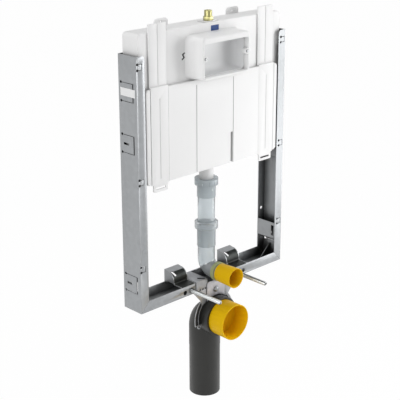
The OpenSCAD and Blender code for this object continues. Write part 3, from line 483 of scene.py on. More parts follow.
class Finish(Enum):
    """The finishes of this object, each with the record's slot that it belongs to."""

    SHEET = ("galvanised", SheetSteel("galvanised_sheet", (0.365, 0.378, 0.39)))
    # Painted dark reflection and shade: the hoods' curved fronts are the same galvanised sheet as
    # the rest, coloured nearly black.
    HOOD_PAINTED_DARK = ("galvanised", SheetSteel("hood_curve", (0.016, 0.019, 0.017), 0.42, 0.6))
    HOLDER = ("holder_steel", SheetSteel("holder_sheet", (0.43, 0.44, 0.46), 0.33))
    PAD = ("holder_steel", SheetSteel(
        "pad_sheet", (0.50, 0.50, 0.53), 0.4, channel_shade=0.2, reach=0.012,
    ))
    # The studs carry painted dark reflection streaks.
    STUD = ("zinc", Metal(
        "stud_plating", (0.70, 0.72, 0.72), (0.50, 0.51, 0.50), 0.26, reflection_streaks=0.8,
    ))
    ZINC = ("zinc", Metal("zinc_plating", (0.30, 0.31, 0.32), (0.20, 0.20, 0.19), 0.24))
    # The tank carries painted shade round the shroud, the straps and in its grooves.
    TANK = ("tank_plastic", Moulded(
        "tank_white", (0.90, 0.90, 0.90), 0.45, vary=0.006, shine=0.3, corner_shade=0.66, reach=0.06,
    ))
    GUARD = ("guard_plastic", Moulded(
        "guard_white", (0.80, 0.805, 0.81), 0.4, vary=0.01, shine=0.3,
    ))
    CLEAR = ("clear_plastic", Moulded(
        "clear_pipe", (0.86, 0.90, 0.92), 0.14, vary=0.01, clear=0.80,
    ))
    PIPE = ("pipe_plastic", Moulded(
        "grey_pipe", (0.70, 0.76, 0.79), 0.22, vary=0.02, clear=0.55,
    ))
    # The caps carry painted shade in their insides.
    CAP = ("cap_plastic", Moulded(
        "cap_yellow", (0.84, 0.51, 0.004), 0.36, vary=0.03, shine=0.10, corner_shade=0.85, reach=0.05,
    ))
    DRAIN = ("drain_plastic", Moulded(
        "drain_dark", (0.020, 0.020, 0.018), 0.38, vary=0.10, shine=0.4,
    ))
    # Painted dark reflection: a darker, less clear copy of the pipe plastic for the outer part of
    # the elbow's bend.
    ELBOW = ("pipe_plastic", Moulded(
        "elbow_dark_reflection", (0.46, 0.49, 0.50), 0.08, coat=1.0, vary=0.05, clear=0.40,
    ))
    RUBBER = ("black_rubber", SoftRubber("black_rubber", (0.012, 0.012, 0.012)))
    SEAL = ("elbow_rubber", SoftRubber("elbow_ring", (0.30, 0.33, 0.16), 0.55))
    BRASS = ("brass", Metal("brass", (0.38, 0.36, 0.17), (0.22, 0.20, 0.08), 0.3))
    PLATE = ("plate_steel", SheetSteel(
        "inlet_plate_steel", (0.78, 0.78, 0.79), 0.4, 0.2, channel_shade=0.5, reach=0.004,
    ))
    KNOB = ("knob_plastic", Moulded("knob_blue", (0.17, 0.30, 0.45), 0.35))
    VALVE = ("valve_plastic", Moulded("valve_white", (0.72, 0.72, 0.69), 0.4))
    FLOAT = ("float_plastic", Moulded("float_blue", (0.26, 0.45, 0.64), 0.45))
    LIFT = ("lift_plastic", Moulded("lift_blue", (0.08, 0.21, 0.45), 0.4))
    LEVER = ("lever_plastic", Moulded("lever_orange", (0.75, 0.26, 0.035), 0.4))
    BADGE = ("badge", Moulded(
        "badge_blue", (0.012, 0.055, 0.22), 0.35, vary=0.03, shine=0.2,
    ))
    LABEL = ("label", Moulded(
        "label_white", (0.88, 0.88, 0.88), 0.5, vary=0.01, skin=0.04,
    ))


# Shapes


class Solid:
    """A mesh in the making, shaped in millimetres with bmesh operators."""

    def __init__(self) -> None:
        """Starts empty."""
        self.bm = bmesh.new()

    @classmethod
    def of_node(cls, node: bpy.types.Object) -> "Solid":
        """Copies a CAD node's triangles, merged into closed flat faces.

        Args:
            node: The CAD node's object.

        Returns:
            The copy, in millimetres.
        """
        made = cls()
        made.bm.from_mesh(node.data)
        bmesh.ops.remove_doubles(made.bm, verts=made.bm.verts, dist=SAME_CORNER)
        bmesh.ops.scale(made.bm, vec=(1.0 / MM,) * 3, verts=made.bm.verts)
        bmesh.ops.dissolve_limit(
            made.bm,
            angle_limit=math.radians(FLAT_UNDER),
            verts=made.bm.verts,
            edges=made.bm.edges,
        )
        return made

    def box(self, low: Triple, high: Triple, edge: float) -> "Solid":
        """Adds a box with rounded edges.

        Args:
            low: Its lowest corner.
            high: Its highest corner.
            edge: Width of the rounding.

        Returns:
            This solid.
        """
        size = Vector(high) - Vector(low)
        middle = (Vector(high) + Vector(low)) / 2
        place = Matrix.Translation(middle) @ Matrix.Diagonal((*size, 1.0))
        made = bmesh.ops.create_cube(self.bm, size=1.0, matrix=place)
        self._bevel({e for v in made["verts"] for e in v.link_edges}, edge)
        return self

    def _bevel(self, lines: Iterable[Any], width: float, steps: int = 2) -> None:
        """Rounds edges.

        Args:
            lines: The edges.
            width: Width of the rounding.
            steps: Segments of the rounding.
        """
        bmesh.ops.bevel(
            self.bm,
            geom=list(lines),
            offset=width,
            offset_type="OFFSET",
            segments=steps,
            profile=0.5,
            affect="EDGES",
            clamp_overlap=True,
            material=-1,
        )

    def _face_out(self, before: set[Any]) -> None:
        """Turns the faces that weren't there before outwards."""
        fresh = [f for f in self.bm.faces if f not in before]
        bmesh.ops.recalc_face_normals(self.bm, faces=fresh)

    def lathe(
        self,
        base: Triple,
        axis: Axis,
        profile: Sequence[Pair],
        steps: int,
        closed: bool = True,
    ) -> "Solid":
        """Spins a profile round an axis.

        Args:
            base: The point that heights are counted from.
            axis: The direction of the axis.
            profile: Points of (radius, height) in turn.
            steps: Segments of the full turn.
            closed: Whether the last point joins the first, as in a ring.

        Returns:
            This solid.
        """
        along = Vector(axis.value)
        side = along.orthogonal().normalized()
        start = Vector(base)
        verts = [self.bm.verts.new(start + side * r + along * h) for r, h in profile]
        pairs = list(zip(verts, verts[1:])) + ([(verts[-1], verts[0])] if closed else [])
        lines = [self.bm.edges.new(p) for p in pairs]
        before = set(self.bm.faces)
        bmesh.ops.spin(
            self.bm,
            geom=verts + lines,
            cent=start,
            axis=along,
            dvec=(0.0, 0.0, 0.0),
            angle=math.tau,
            space=Matrix.Identity(4),
            steps=steps,
            use_merge=True,
            use_duplicate=False,
        )
        near = list({v for f in self.bm.faces if f not in before for v in f.verts})
        bmesh.ops.remove_doubles(self.bm, verts=near, dist=SAME_POINT)
        self._face_out(before)
        return self

    def soften(
        self,
        width: float,
        steps: int = 2,
        turn: float = SHARP_OVER,
        where: Callable[[Vector], bool] = lambda p: True,
    ) -> "Solid":
        """Rounds the sharp edges.

        Args:
            width: Width of the rounding.
            steps: Segments of the rounding.
            turn: Least angle between two faces in degrees for their edge to count as sharp.
            where: Tells of a point whether edges are rounded there.

        Returns:
            This solid.
        """
        least = math.radians(turn)
        sharp = [e for e in self.bm.edges if e.is_manifold and e.calc_face_angle(0.0) > least]
        chosen = [e for e in sharp if all(where(v.co) for v in e.verts)]
        if chosen:
            self._bevel(chosen, width, steps)
        return self

    def split(self, corners: int) -> "Solid":
        """Splits large faces at their hollow corners, where rounding could fold them over.

        Args:
            corners: Number of corners up to which a face stays whole.

        Returns:
            This solid.
        """
        wide = [f for f in self.bm.faces if len(f.verts) > corners]
        bmesh.ops.connect_verts_concave(self.bm, faces=wide)
        return self

    def loft(self, rings: Sequence[Sequence[Triple]], closed: bool = False) -> "Solid":
        """Joins rings of points by a skin.

        Args:
            rings: The rings in turn, with the same number of points each.
            closed: Whether the last ring joins the first, instead of a flat face at both ends.

        Returns:
            This solid.
        """
        before = set(self.bm.faces)
        verts = [self.bm.verts.new(p) for p in rings[0]]
        lines = [self.bm.edges.new(pair) for pair in zip(verts, verts[1:] + verts[:1])]
        start, every = list(lines), list(verts)
        for ring in list(rings[1:]) + ([rings[0]] if closed else []):
            made = bmesh.ops.extrude_edge_only(self.bm, edges=lines)["geom"]
            fresh = {g for g in made if isinstance(g, bmesh.types.BMVert)}
            verts = [next(w for e in v.link_edges for w in e.verts if w in fresh) for v in verts]
            edges = [g for g in made if isinstance(g, bmesh.types.BMEdge)]
            lines = [e for e in edges if fresh.issuperset(e.verts)]
            for vert, point in zip(verts, ring):
                vert.co = point
            every += verts
        if closed:
            bmesh.ops.remove_doubles(self.bm, verts=every, dist=SAME_POINT)
        else:
            bmesh.ops.holes_fill(self.bm, edges=start + lines, sides=0)
        self._face_out(before)
        return self

    def keep(self, point: Triple, normal: Triple, side: int) -> "Solid":
        """Cuts the solid at a plane.

        Args:
            point: A point of the plane.
            normal: The plane's normal.
            side: The side that stays, 1 for the normal's and -1 for the other.

        Returns:
            This solid.
        """
        cut = bmesh.ops.bisect_plane(
            self.bm,
            geom=list(self.bm.verts) + list(self.bm.edges) + list(self.bm.faces),
            plane_co=point,
            plane_no=tuple(side * n for n in normal),
            clear_inner=True,
        )
        rim = [g for g in cut["geom_cut"] if isinstance(g, bmesh.types.BMEdge)]
        bmesh.ops.holes_fill(self.bm, edges=rim, sides=0)
        return self

    def join(self, other: "Solid") -> "Solid":
        """Takes in another solid.

        Args:
            other: The other solid, which is used up.

        Returns:
            This solid.
        """
        data = bpy.data.meshes.new("joined")
        other.bm.to_mesh(data)
        other.bm.free()
        self.bm.from_mesh(data)
        bpy.data.meshes.remove(data)
        return self

    def mesh(self, name: str) -> bpy.types.Mesh:
        """Writes the mesh in metres, smooth except across sharp edges.

        Args:
            name: The mesh's name.

        Returns:
            The mesh.
        """
        bmesh.ops.scale(self.bm, vec=(MM,) * 3, verts=self.bm.verts)
        most = math.radians(SMOOTH_UNDER)
        for face in self.bm.faces:
            face.smooth = True
        for line in self.bm.edges:
            line.smooth = line.is_manifold and line.calc_face_angle(0.0) < most
        made = bpy.data.meshes.new(name)
        self.bm.to_mesh(made)
        self.bm.free()
        return made


class Ring(NamedTuple):
    """A rounded rectangle round an opening, which faces the front.

    Attributes:
        y: Where it stands along Y.
        side: How far it goes beyond the opening to the left and right.
        low: How far it goes beyond the opening below.
        high: How far it goes beyond the opening above.
        corner: Radius of its corners.
    """

    y: float
    side: float
    low: float
    high: float
    corner: float

    @classmethod
    def even(cls, y: float, beyond: float, corner: float) -> "Ring":
        """Returns a ring that goes equally far beyond the opening on all sides."""
        return cls(y, beyond, beyond, beyond, corner)

    def points(self, opening: Box, steps: int = 6) -> list[Triple]:
        """Draws the ring round an opening.

        Args:
            opening: The opening's lowest and highest corner in X and Z.
            steps: Segments of a corner.

        Returns:
            The ring's points in turn.
        """
        (left, bottom), (right, top) = opening
        left, right = left - self.side + self.corner, right + self.side - self.corner
        bottom, top = bottom - self.low + self.corner, top + self.high - self.corner
        middles = ((right, top), (left, top), (left, bottom), (right, bottom))
        reflection_streaks = []
        for turn, (x, z) in enumerate(middles):
            for i in range(steps + 1):
                angle = math.radians(90.0 * (turn + i / steps))
                across, up = self.corner * math.cos(angle), self.corner * math.sin(angle)
                reflection_streaks.append((x + across, self.y, z + up))
        return reflection_streaks


class Workshop:
    """Makes pieces, gives them their finish and puts them on their body."""

    def __init__(self, frame: dict[str, Any]) -> None:
        """Builds every finish once.
        """
        self.nodes: dict[str, bpy.types.Object] = frame["nodes"]
        bodies = frame["record"]["behaviour"]["bodies"]
        self.body_of = {node: body for body, nodes in bodies.items() for node in nodes}
        self.finishes = {f: f.value[1].build() for f in Finish}

    def dress(self, finish: Finish, *names: str) -> None:
        """Gives CAD nodes that stay as they are their finish.

        Args:
            finish: The finish.
            *names: The nodes' names.
        """
        for name in names:
            data = self.nodes[name].data
            data.materials.clear()
            data.materials.append(self.finishes[finish])
            LOG.info("kept %s with %s", name, finish.name)

    def place(
        self,
        name: str,
        solid: Solid,
        finish: Finish,
        node: str,
        stands_for: Sequence[str] = (),
    ) -> None:
        """Turns a solid into a piece.

        Args:
            name: The piece's name.
            solid: Its shape.
            finish: Its finish.
            node: The CAD node whose body it rides on.
            stands_for: The CAD nodes that it replaces.
        """
        made = bpy.data.objects.new(name, solid.mesh(name))
        bpy.context.scene.collection.objects.link(made)
        made.data.materials.append(self.finishes[finish])
        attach(made, self.body_of[node])
        if stands_for:
            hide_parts(*stands_for)
        LOG.info("made %s, %d faces", name, len(made.data.polygons))

    def soften(self, finish: Finish, width: float, *names: str) -> None:
        """Replaces CAD nodes by copies with rounded edges.

        Args:
            finish: The finish.
            width: Width of the rounding in millimetres.
            *names: The nodes' names.
        """
        for name in names:
            solid = Solid.of_node(self.nodes[name]).soften(width)
            self.place(f"{name}_soft", solid, finish, name, [name])


# The object


@dataclass
class WallFrame:
    """The galvanised uprights and rail with their hoods, ties and pan studs.

    Attributes:
        stud_gap: Distance between the studs.
        stud_r: Radius over their thread.
        stud_out: How far they stand out in front of the rail.
        stud_in: How far they go back behind its face.
        pitch: The thread's pitch.
        thread_deep: Its depth.
        thread_crest: Where its crest begins and ends, from the foot of a turn.
        stud_point: The chamfer of their ends, across and along.
        hood_x: Middle of a hood, to the left and right.
        hood_w: A hood's width.
        cheek_t: Thickness of its cheeks with their roundings.
        cheek_out: How far a cheek is kept beyond its inner face.
        arc_y: Middle of the curved front along Y.
        arc_z: Middle of the curved front along Z.
        lean: Angle under which the curved front ends, in degrees.
        sheet_edge: Rounding of the sheet pieces' edges.
        cheek_edge: Rounding of the hoods' pale edges.
        nut_edge: Rounding of the nuts' edges.
    """

    stud_gap: float = 180.0
    stud_r: float = 6.0
    stud_out: float = 112.0
    stud_in: float = 30.0
    pitch: float = 1.75
    thread_deep: float = 0.35
    thread_crest: Pair = (0.7, 1.05)
    stud_point: Pair = (0.6, 0.8)
    hood_x: float = 103.5
    hood_w: float = 52.0
    cheek_t: float = 2.0
    cheek_out: float = 9.0
    arc_y: float = 57.0
    arc_z: float = 27.0
    lean: float = 24.0
    sheet_edge: float = 0.7
    cheek_edge: float = 0.4
    nut_edge: float = 0.8

    def stud(self, x: float) -> Solid:
        """Turns one threaded stud.

        Args:
            x: Its place along X.

        Returns:
            The stud.
        """
        plain = 1.0
        length = self.stud_out + self.stud_in
        root = self.stud_r - self.thread_deep
        tip = root - self.stud_point[0]
        rise, fall = self.thread_crest
        profile: list[Pair] = [(0.0, 0.0), (tip, 0.0)]
        for i in range(int((length - 2 * plain) / self.pitch)):
            h = plain + i * self.pitch
            profile += [(root, h), (self.stud_r, h + rise), (self.stud_r, h + fall)]
        profile += [(root, length - self.stud_point[1]), (tip, length), (0.0, length)]
        base = (x, -self.stud_out, 0.0)
        return Solid().lathe(base, Axis.BACK, profile, steps=20, closed=False)

    def build(self, shop: Workshop) -> None:
        """Makes the frame's pieces.

        Args:
            shop: The workshop.
        """
        edge = self.sheet_edge
        shop.soften(Finish.SHEET, edge, "left_upright", "right_upright", "bottom_rail")
        shop.soften(Finish.SHEET, edge, "corner_gussets", "channel_ties", "tank_carriers")
        shop.soften(Finish.ZINC, self.nut_edge, "stud_nuts")
        both = self.stud(-self.stud_gap / 2).join(self.stud(self.stud_gap / 2))
        shop.place("threaded_studs", both, Finish.STUD, "pan_studs", ["pan_studs"])
        self.hoods(shop)

    def hoods(self, shop: Workshop) -> None:
        """Parts the hoods into curved fronts with painted dark reflection and shade, and pale tops
        and pale cheeks.

        Args:
            shop: The workshop.
        """
        node = shop.nodes["stud_hoods"]
        right = Axis.RIGHT.value
        middle = (0.0, self.arc_y, self.arc_z)
        lean = math.radians(self.lean)
        crest = (0.0, -math.cos(lean), -math.sin(lean))
        curves, pale = Solid(), Solid()
        for x in (-self.hood_x, self.hood_x):
            near, far = x - self.hood_w / 2 + self.cheek_t, x + self.hood_w / 2 - self.cheek_t
            strip = [((near, 0.0, 0.0), right, 1), ((far, 0.0, 0.0), right, -1)]
            curves.join(self.cut(node, strip + [(middle, crest, 1)]))
            pale.join(self.cut(node, strip + [(middle, crest, -1)]))
            for edge, side in ((near, -1), (far, 1)):
                limit = edge + side * self.cheek_out
                cheek = [((edge, 0.0, 0.0), right, side), ((limit, 0.0, 0.0), right, -side)]
                pale.join(self.cut(node, cheek))
        # The curved fronts get the nearly black sheet as painted dark reflection and shade.
        shop.place("hood_curves", curves, Finish.HOOD_PAINTED_DARK, "stud_hoods", ["stud_hoods"])
        shop.place("hood_cheeks", pale.soften(self.cheek_edge), Finish.SHEET, "stud_hoods")

    @staticmethod
    def cut(node: bpy.types.Object, planes: Sequence[tuple[Triple, Triple, int]]) -> Solid:
        """Returns what stays of a copied node after cuts.

        Args:
            node: The CAD node's object.
            planes: A point, a normal and the side that stays, for each cut.

        Returns:
            The rest of the copy.
        """
        made = Solid.of_node(node)
        for point, normal, side in planes:
            made.keep(point, normal, side)
        return made


@dataclass
class Drain:
    """The drain bend with its holder, lining, bolt and cap.

    Attributes:
        sheet_edge: Rounding of the edges of the holder and its pad.
        bolt_edge: The same for the bolt and its nut.
        lining_edge: The same for the rubber.
        bend_edge: The same for the bend.
        cap_edge: The same for the cap.
    """

    sheet_edge: float = 0.6
    bolt_edge: float = 0.8
    lining_edge: float = 1.0
    bend_edge: float = 0.9
    cap_edge: float = 0.6

    def build(self, shop: Workshop) -> None:
        """Makes the drain's pieces.

        Args:
            shop: The workshop.
        """
        shop.soften(Finish.HOLDER, self.sheet_edge, "drain_holder")
        shop.soften(Finish.PAD, self.sheet_edge, "holder_pad")
        shop.soften(Finish.ZINC, self.bolt_edge, "holder_bolt", "holder_nut")
        shop.soften(Finish.RUBBER, self.lining_edge, "drain_lining")
        shop.soften(Finish.DRAIN, self.bend_edge, "drain_bend")
        shop.dress(Finish.RUBBER, "drain_seal")
        shop.soften(Finish.CAP, self.cap_edge, "drain_cap")


@dataclass
class FlushPipe:
    """The flush pipe with its elbow, sleeves, union nuts and cap.

    Attributes:
        bend_y: Middle of the elbow's bend along Y.
        bend_z: Middle of the elbow's bend along Z.
        dark_from: Angle at which the clear part of the bend ends and the painted dark reflection
            begins, in degrees.
        edge: Rounding of the edges of the plastic pieces.
        seal_edge: The same for the ring.
    """

    bend_y: float = 7.0
    bend_z: float = 63.0
    dark_from: float = 38.0
    edge: float = 0.5
    seal_edge: float = 1.0

    def build(self, shop: Workshop) -> None:
        """Makes the flush pipe's pieces.

        Args:
            shop: The workshop.
        """
        shop.soften(Finish.PIPE, self.edge, "lower_sleeve", "upper_sleeve", "upper_union_nut")
        shop.soften(Finish.CLEAR, self.edge, "lower_union_nut", "flush_pipe")
        turn = math.radians(self.dark_from)
        middle = (0.0, self.bend_y, self.bend_z)
        onward = (0.0, -math.sin(turn), -math.cos(turn))
        elbow = shop.nodes["flush_elbow"]
        clear = Solid.of_node(elbow).keep(middle, onward, -1).soften(self.edge)
        shop.place("elbow_clear", clear, Finish.CLEAR, "flush_elbow", ["flush_elbow"])
        # Painted dark reflection: past that angle the same elbow gets a darker, less clear copy of
        # the pipe plastic.
        dark_bend = Solid.of_node(elbow).keep(middle, onward, 1)
        shop.place("elbow_dark_reflection", dark_bend, Finish.ELBOW, "flush_elbow")
        shop.soften(Finish.SEAL, self.seal_edge, "elbow_seal")
        shop.soften(Finish.TANK, self.edge, "outlet_spigot")
        shop.dress(Finish.RUBBER, "outlet_gasket")
        shop.soften(Finish.CAP, self.edge, "flush_cap")


@dataclass
class Cistern:
    """The tank's shells with their straps, shroud, guard and blank plates.

    Attributes:
        hatch: The opening in the tank's face, its lowest and highest corner in X and Z.
        shroud_box: The shroud round it, in the same way.
        shroud_front: Where the shroud's front stands along Y.
        guard_front: Where the guard's front stands.
        guard_floor: Where the guard's floor stands.
        floor_r: Radius of the rounding between the guard's wall and floor.
        rim_gap: Gap between the guard's rim and the opening.
        wall_gap: The same for the inside of its wall.
        belly: Where the front of the tank's lower half stands.
        belly_side: Beyond it to the left and right lie the edges of the lower half.
        belly_top: Above it lies the upper edge of the lower half.
        face: Where the front of the upper half stands.
        face_side: Beyond it to the left and right lie the edges of the upper half.
        face_top: Above it lies the upper edge of the upper half.
        back: Where the tank's back stands.
        lug_x: Middle of a screw lug, to the left and right.
        lug_z: Its height.
        latch: The plate behind the bent slot, its lowest and highest corner in X and Z.
        latch_in: Where that plate begins and ends, behind the face.
        belly_edge: Rounding of the lower half's edges at its sides.
        ledge_edge: The same for its upper edge.
        face_edge: The same for the front edges of the upper half.
        back_edge: The same for the edges of the back.
        strap_edge: The same for the straps.
        latch_edge: The same for the plate behind the slot.
    """

    hatch: Box = ((-80.0, 606.0), (80.0, 694.0))
    shroud_box: Box = ((-88.0, 598.0), (88.0, 711.0))
    shroud_front: float = -43.0
    guard_front: float = -28.0
    guard_floor: float = 8.0
    floor_r: float = 16.0
    rim_gap: float = 0.3
    wall_gap: float = 2.3
    belly: float = 0.0
    belly_side: float = 228.0
    belly_top: float = 593.0
    face: float = 10.0
    face_side: float = 251.0
    face_top: float = 722.0
    back: float = 67.0
    lug_x: float = 77.0
    lug_z: float = 656.0
    latch: Box = ((-113.0, 649.0), (-100.0, 672.0))
    latch_in: Pair = (0.5, 2.5)
    belly_edge: float = 5.0
    ledge_edge: float = 2.0
    face_edge: float = 7.0
    back_edge: float = 3.0
    strap_edge: float = 1.0
    latch_edge: float = 0.3

    def shells(self, shop: Workshop) -> None:
        """Makes the two shells, with their outer edges rounded one by one.

        Args:
            shop: The workshop.
        """
        near, hem, turn = 0.1, 1.0, VERY_SHARP_OVER

        def belly_sides(p: Vector) -> bool:
            """Tells whether a point is on the front edges at the sides of the lower half."""
            return p.y < self.belly + near and abs(p.x) > self.belly_side

        def face_rim(p: Vector) -> bool:
            """Tells whether a point is on the outer front edges of the upper half."""
            at_rim = abs(p.x) > self.face_side or p.z > self.face_top
            return self.face - near < p.y < self.face + near and at_rim

        def belly_ledge(p: Vector) -> bool:
            """Tells whether a point is on the upper edge of the lower half."""
            return p.y < self.belly + near and p.z > self.belly_top

        def back_rim(p: Vector) -> bool:
            """Tells whether a point is on the edges of the back."""
            return self.back - hem < p.y < self.back + near

        front = Solid.of_node(shop.nodes["tank_front_shell"]).split(corners=60)
        front.soften(self.belly_edge, 4, turn, belly_sides)
        front.soften(self.face_edge, 5, turn, face_rim)
        front.soften(self.ledge_edge, 2, turn, belly_ledge)
        shop.place("tank_front", front, Finish.TANK, "tank_front_shell", ["tank_front_shell"])
        rear = Solid.of_node(shop.nodes["tank_rear_shell"])
        rear.soften(self.back_edge, 3, turn, back_rim)
        shop.place("tank_rear", rear, Finish.TANK, "tank_rear_shell", ["tank_rear_shell"])

    def shroud(self) -> Solid:
        """Lofts the shroud, which flares softly into the tank's face.

        Returns:
            The shroud.
        """
        outside = (
            Ring(10.0, 13.0, 4.0, 2.6, 20.0),
            Ring(7.5, 8.0, 3.0, 2.0, 18.0),
            Ring(4.0, 4.6, 2.4, 1.2, 16.0),
            Ring(-2.0, 2.0, 1.2, 0.6, 15.0),
            Ring(-12.0, 0.4, 0.4, 0.1, 14.0),
            Ring(-36.0, 0.0, 0.0, 0.0, 13.0),
            Ring(-39.5, -0.5, -0.5, -0.6, 12.5),
            Ring(-42.0, -1.9, -1.7, -2.4, 12.0),
            Ring(self.shroud_front, -4.4, -3.8, -5.6, 11.0),
        )
        inside = (
            Ring.even(self.shroud_front, 1.4, 5.0),
            Ring.even(-42.4, 0.5, 4.4),
            Ring.even(-41.0, 0.0, 4.0),
            Ring.even(self.face, 0.0, 4.0),
        )
        rings = [ring.points(self.shroud_box) for ring in outside]
        rings += [ring.points(self.hatch) for ring in inside]
        return Solid().loft(rings, closed=True)

    def guard(self) -> Solid:
        """Lofts the tub in the opening, with a deep rounding round its floor.

        Returns:
            The tub.
        """
        steps, rim_corner, corner = 8, 12.0, 10.0
        ends = (self.face, self.guard_front)
        rings = [Ring.even(y, -self.rim_gap, rim_corner) for y in ends]
        rings.append(Ring.even(self.guard_front, -self.wall_gap, corner))
        for i in range(steps + 1):
            angle = math.radians(90.0 * i / steps)
            inset = -self.wall_gap - self.floor_r * (1.0 - math.cos(angle))
            y = self.guard_floor - self.floor_r + self.floor_r * math.sin(angle)
            rings.append(Ring.even(y, inset, corner))
        return Solid().loft([ring.points(self.hatch) for ring in rings])

    def lugs(self) -> Solid:
        """Turns the two rings that hold the guard's screws.

        Returns:
            Both rings.
        """
        bore, step, foot, length = 2.1, 4.5, 8.4, 13.6
        ring = [
            (bore, 1.0), (3.9, 1.0), (step, 0.4), (step, 0.0),
            (7.5, 0.0), (foot, 1.0), (foot, length), (bore, length),
        ]
        made = Solid()
        for side in (-1, 1):
            base = (side * self.lug_x, self.shroud_front + 0.2, self.lug_z)
            made.lathe(base, Axis.BACK, ring, steps=40)
        return made

    def build(self, shop: Workshop) -> None:
        """Makes the cistern's pieces.

        Args:
            shop: The workshop.
        """
        self.shells(shop)
        shop.soften(Finish.TANK, self.strap_edge, "front_straps")
        shop.place("shroud", self.shroud(), Finish.TANK, "access_shroud", ["access_shroud"])
        shop.place("guard_tub", self.guard(), Finish.GUARD, "splash_guard", ["splash_guard"])
        shop.place("guard_lugs", self.lugs(), Finish.TANK, "access_shroud")
        low, high = ((x, self.face + y, z) for (x, z), y in zip(self.latch, self.latch_in))
        latch = Solid().box(low, high, self.latch_edge)
        shop.place("mark_latch", latch, Finish.RUBBER, "tank_front_shell")
        shop.dress(Finish.ZINC, "shroud_screws")
        shop.dress(Finish.BADGE, "blank_badge")
        shop.dress(Finish.LABEL, "blank_label")


@dataclass
class Inside:
    """The water inlet and the valves inside the tank.

    Attributes:
        brass_edge: Rounding of the edges of the brass pieces.
        plate_edge: The same for the inlet's plate.
        plastic_edge: The same for the plastic pieces.
    """

    brass_edge: float = 0.5
    plate_edge: float = 0.4
    plastic_edge: float = 0.6

    def build(self, shop: Workshop) -> None:
        """Makes the inlet's and the valves' pieces.

        Args:
            shop: The workshop.
        """
        shop.soften(Finish.BRASS, self.brass_edge, "brass_inlet", "inlet_nut", "stop_valve")
        shop.soften(Finish.PLATE, self.plate_edge, "inlet_plate")
        shop.dress(Finish.RUBBER, "inlet_gasket", "outlet_seal")
        shop.soften(Finish.KNOB, self.plastic_edge, "stop_knob")
        shop.dress(Finish.VALVE, "supply_tube", "fill_bracket", "lever_bracket", "float_lever")
        shop.soften(Finish.VALVE, self.plastic_edge, "fill_valve")
        shop.dress(Finish.FLOAT, "float")
        shop.dress(Finish.GUARD, "valve_basket")
        shop.dress(Finish.LIFT, "lift_tube")
        shop.soften(Finish.LEVER, self.plastic_edge, "lift_lever")


@dataclass(frozen=True)
class Lamp:
    """A soft square lamp, in metres and watts.

    Attributes:
        name: The lamp's name.
        place: Where it hangs.
        aim: The point that it faces.
        size: Its side.
        power: Its power.
    """

    name: str
    place: Triple
    aim: Triple
    size: float
    power: float

    def hang(self) -> None:
        """Adds the lamp to the scene."""
        data = bpy.data.lights.new(self.name, "AREA")
        data.size = self.size
        data.energy = self.power
        lamp = bpy.data.objects.new(self.name, data)
        lamp.location = self.place
        towards = Vector(self.aim) - Vector(self.place)
        lamp.rotation_euler = towards.to_track_quat("-Z", "Y").to_euler()
        bpy.context.scene.collection.objects.link(lamp)


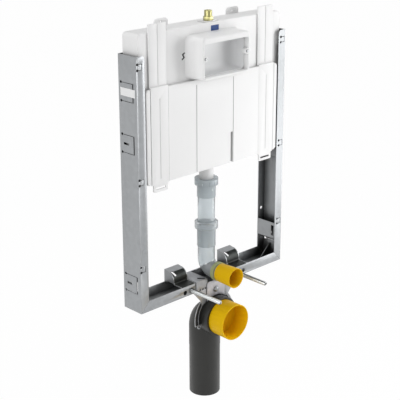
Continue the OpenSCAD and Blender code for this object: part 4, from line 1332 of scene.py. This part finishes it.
@dataclass
class Studio:
    """The floor, the lamps and the camera.

    Attributes:
        floor_z: Height of the floor in metres.
        floor_half: Half of its side in metres.
        floor_glow: How much of plain white the camera sees of it; the rest keeps the shadow.
        sky_light: Strength of the white sky as a light.
        sky_shine: Its strength in mirrors and behind clear pieces.
        eye: Where the camera stands, in metres.
        yaw: How far it turns to the right, in degrees.
        down: How far it looks down, in degrees.
        lens: Its focal length in millimetres.
        sensor: Its sensor's width in millimetres.
        shift: How far the picture is shifted, as a share of its width.
        lamps: The lamps.
    """

    floor_z: float = -0.359
    floor_half: float = 20.0
    floor_glow: float = 0.985
    sky_light: float = 0.336
    sky_shine: float = 0.8
    eye: Triple = (-1.9587, -1.9781, 1.2250)
    yaw: float = 44.31
    down: float = 18.76
    lens: float = 96.22
    sensor: float = 36.0
    shift: Pair = (-0.02, -0.03)
    lamps: tuple[Lamp, ...] = (
        Lamp("key", (1.4, -1.25, 0.75), (0.15, 0.0, 0.35), 0.9, 17.0),
        Lamp("low", (0.95, -0.75, 0.02), (0.1, 0.0, 0.0), 0.5, 3.2),
        Lamp("fill", (-2.6, -0.6, 1.1), (0.0, 0.0, 0.3), 1.6, 31.0),
        Lamp("top", (0.1, 0.1, 2.2), (0.0, 0.0, 0.5), 1.4, 9.0),
    )

    def floor_white(self) -> bpy.types.Material:
        """Builds the floor's material, which the camera and mirrors see as nearly white.

        Returns:
            The material.
        """
        g = Graph.of_material("floor_white")
        seen = g.ray(Ray.CAMERA).over(g.ray(Ray.GLOSSY)).over(g.ray(Ray.TRANSMISSION))
        matt = g.node("ShaderNodeBsdfDiffuse", None, {"Color": (0.8, 0.8, 0.8, 1.0)})
        white = g.node("ShaderNodeEmission", None, {"Color": WHITE, "Strength": 1.0})
        share = seen * self.floor_glow
        g.close(g.node("ShaderNodeMixShader", None, {0: share, 1: matt, 2: white}))
        return g.owner

    def floor(self) -> None:
        """Lays the floor."""
        place = Matrix.Translation((0.0, 0.0, self.floor_z))
        bm = bmesh.new()
        bmesh.ops.create_grid(bm, x_segments=1, y_segments=1, size=self.floor_half, matrix=place)
        data = bpy.data.meshes.new("floor")
        bm.to_mesh(data)
        bm.free()
        floor = bpy.data.objects.new("floor", data)
        bpy.context.scene.collection.objects.link(floor)
        data.materials.append(self.floor_white())

    def sky(self) -> None:
        """Sets the world, which is plain white for the camera and dimmer as a light."""
        world = bpy.data.worlds.new("studio")
        g = Graph(world)
        shiny = g.ray(Ray.GLOSSY).over(g.ray(Ray.TRANSMISSION))
        level = g.span(shiny, (0.0, self.sky_light), (1.0, self.sky_shine))
        level = level.over(g.ray(Ray.CAMERA))
        light = g.node("ShaderNodeBackground", None, {"Color": WHITE, "Strength": level})
        g.close(light, "ShaderNodeOutputWorld")
        bpy.context.scene.world = world

    def camera(self) -> None:
        """Sets the camera up where the photograph was taken from."""
        data = bpy.data.cameras.new("camera")
        data.lens = self.lens
        data.sensor_width = self.sensor
        data.shift_x, data.shift_y = self.shift
        camera = bpy.data.objects.new("camera", data)
        camera.location = self.eye
        camera.rotation_euler = (math.radians(90.0 - self.down), 0.0, math.radians(-self.yaw))
        bpy.context.scene.collection.objects.link(camera)
        bpy.context.scene.camera = camera

    def build(self) -> None:
        """Sets up the floor, the world, the lamps and the camera."""
        bpy.context.scene.view_settings.view_transform = "Standard"
        self.floor()
        self.sky()
        for lamp in self.lamps:
            lamp.hang()
        self.camera()


def main() -> None:
    """Loads the frame, dresses it and sets up the studio."""
    logging.basicConfig(level=logging.INFO, format="%(name)s: %(message)s")
    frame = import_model()
    shop = Workshop(frame)
    for part in (WallFrame(), Drain(), FlushPipe(), Cistern(), Inside()):
        part.build(shop)
    Studio().build()


if __name__ == "__main__":
    main()
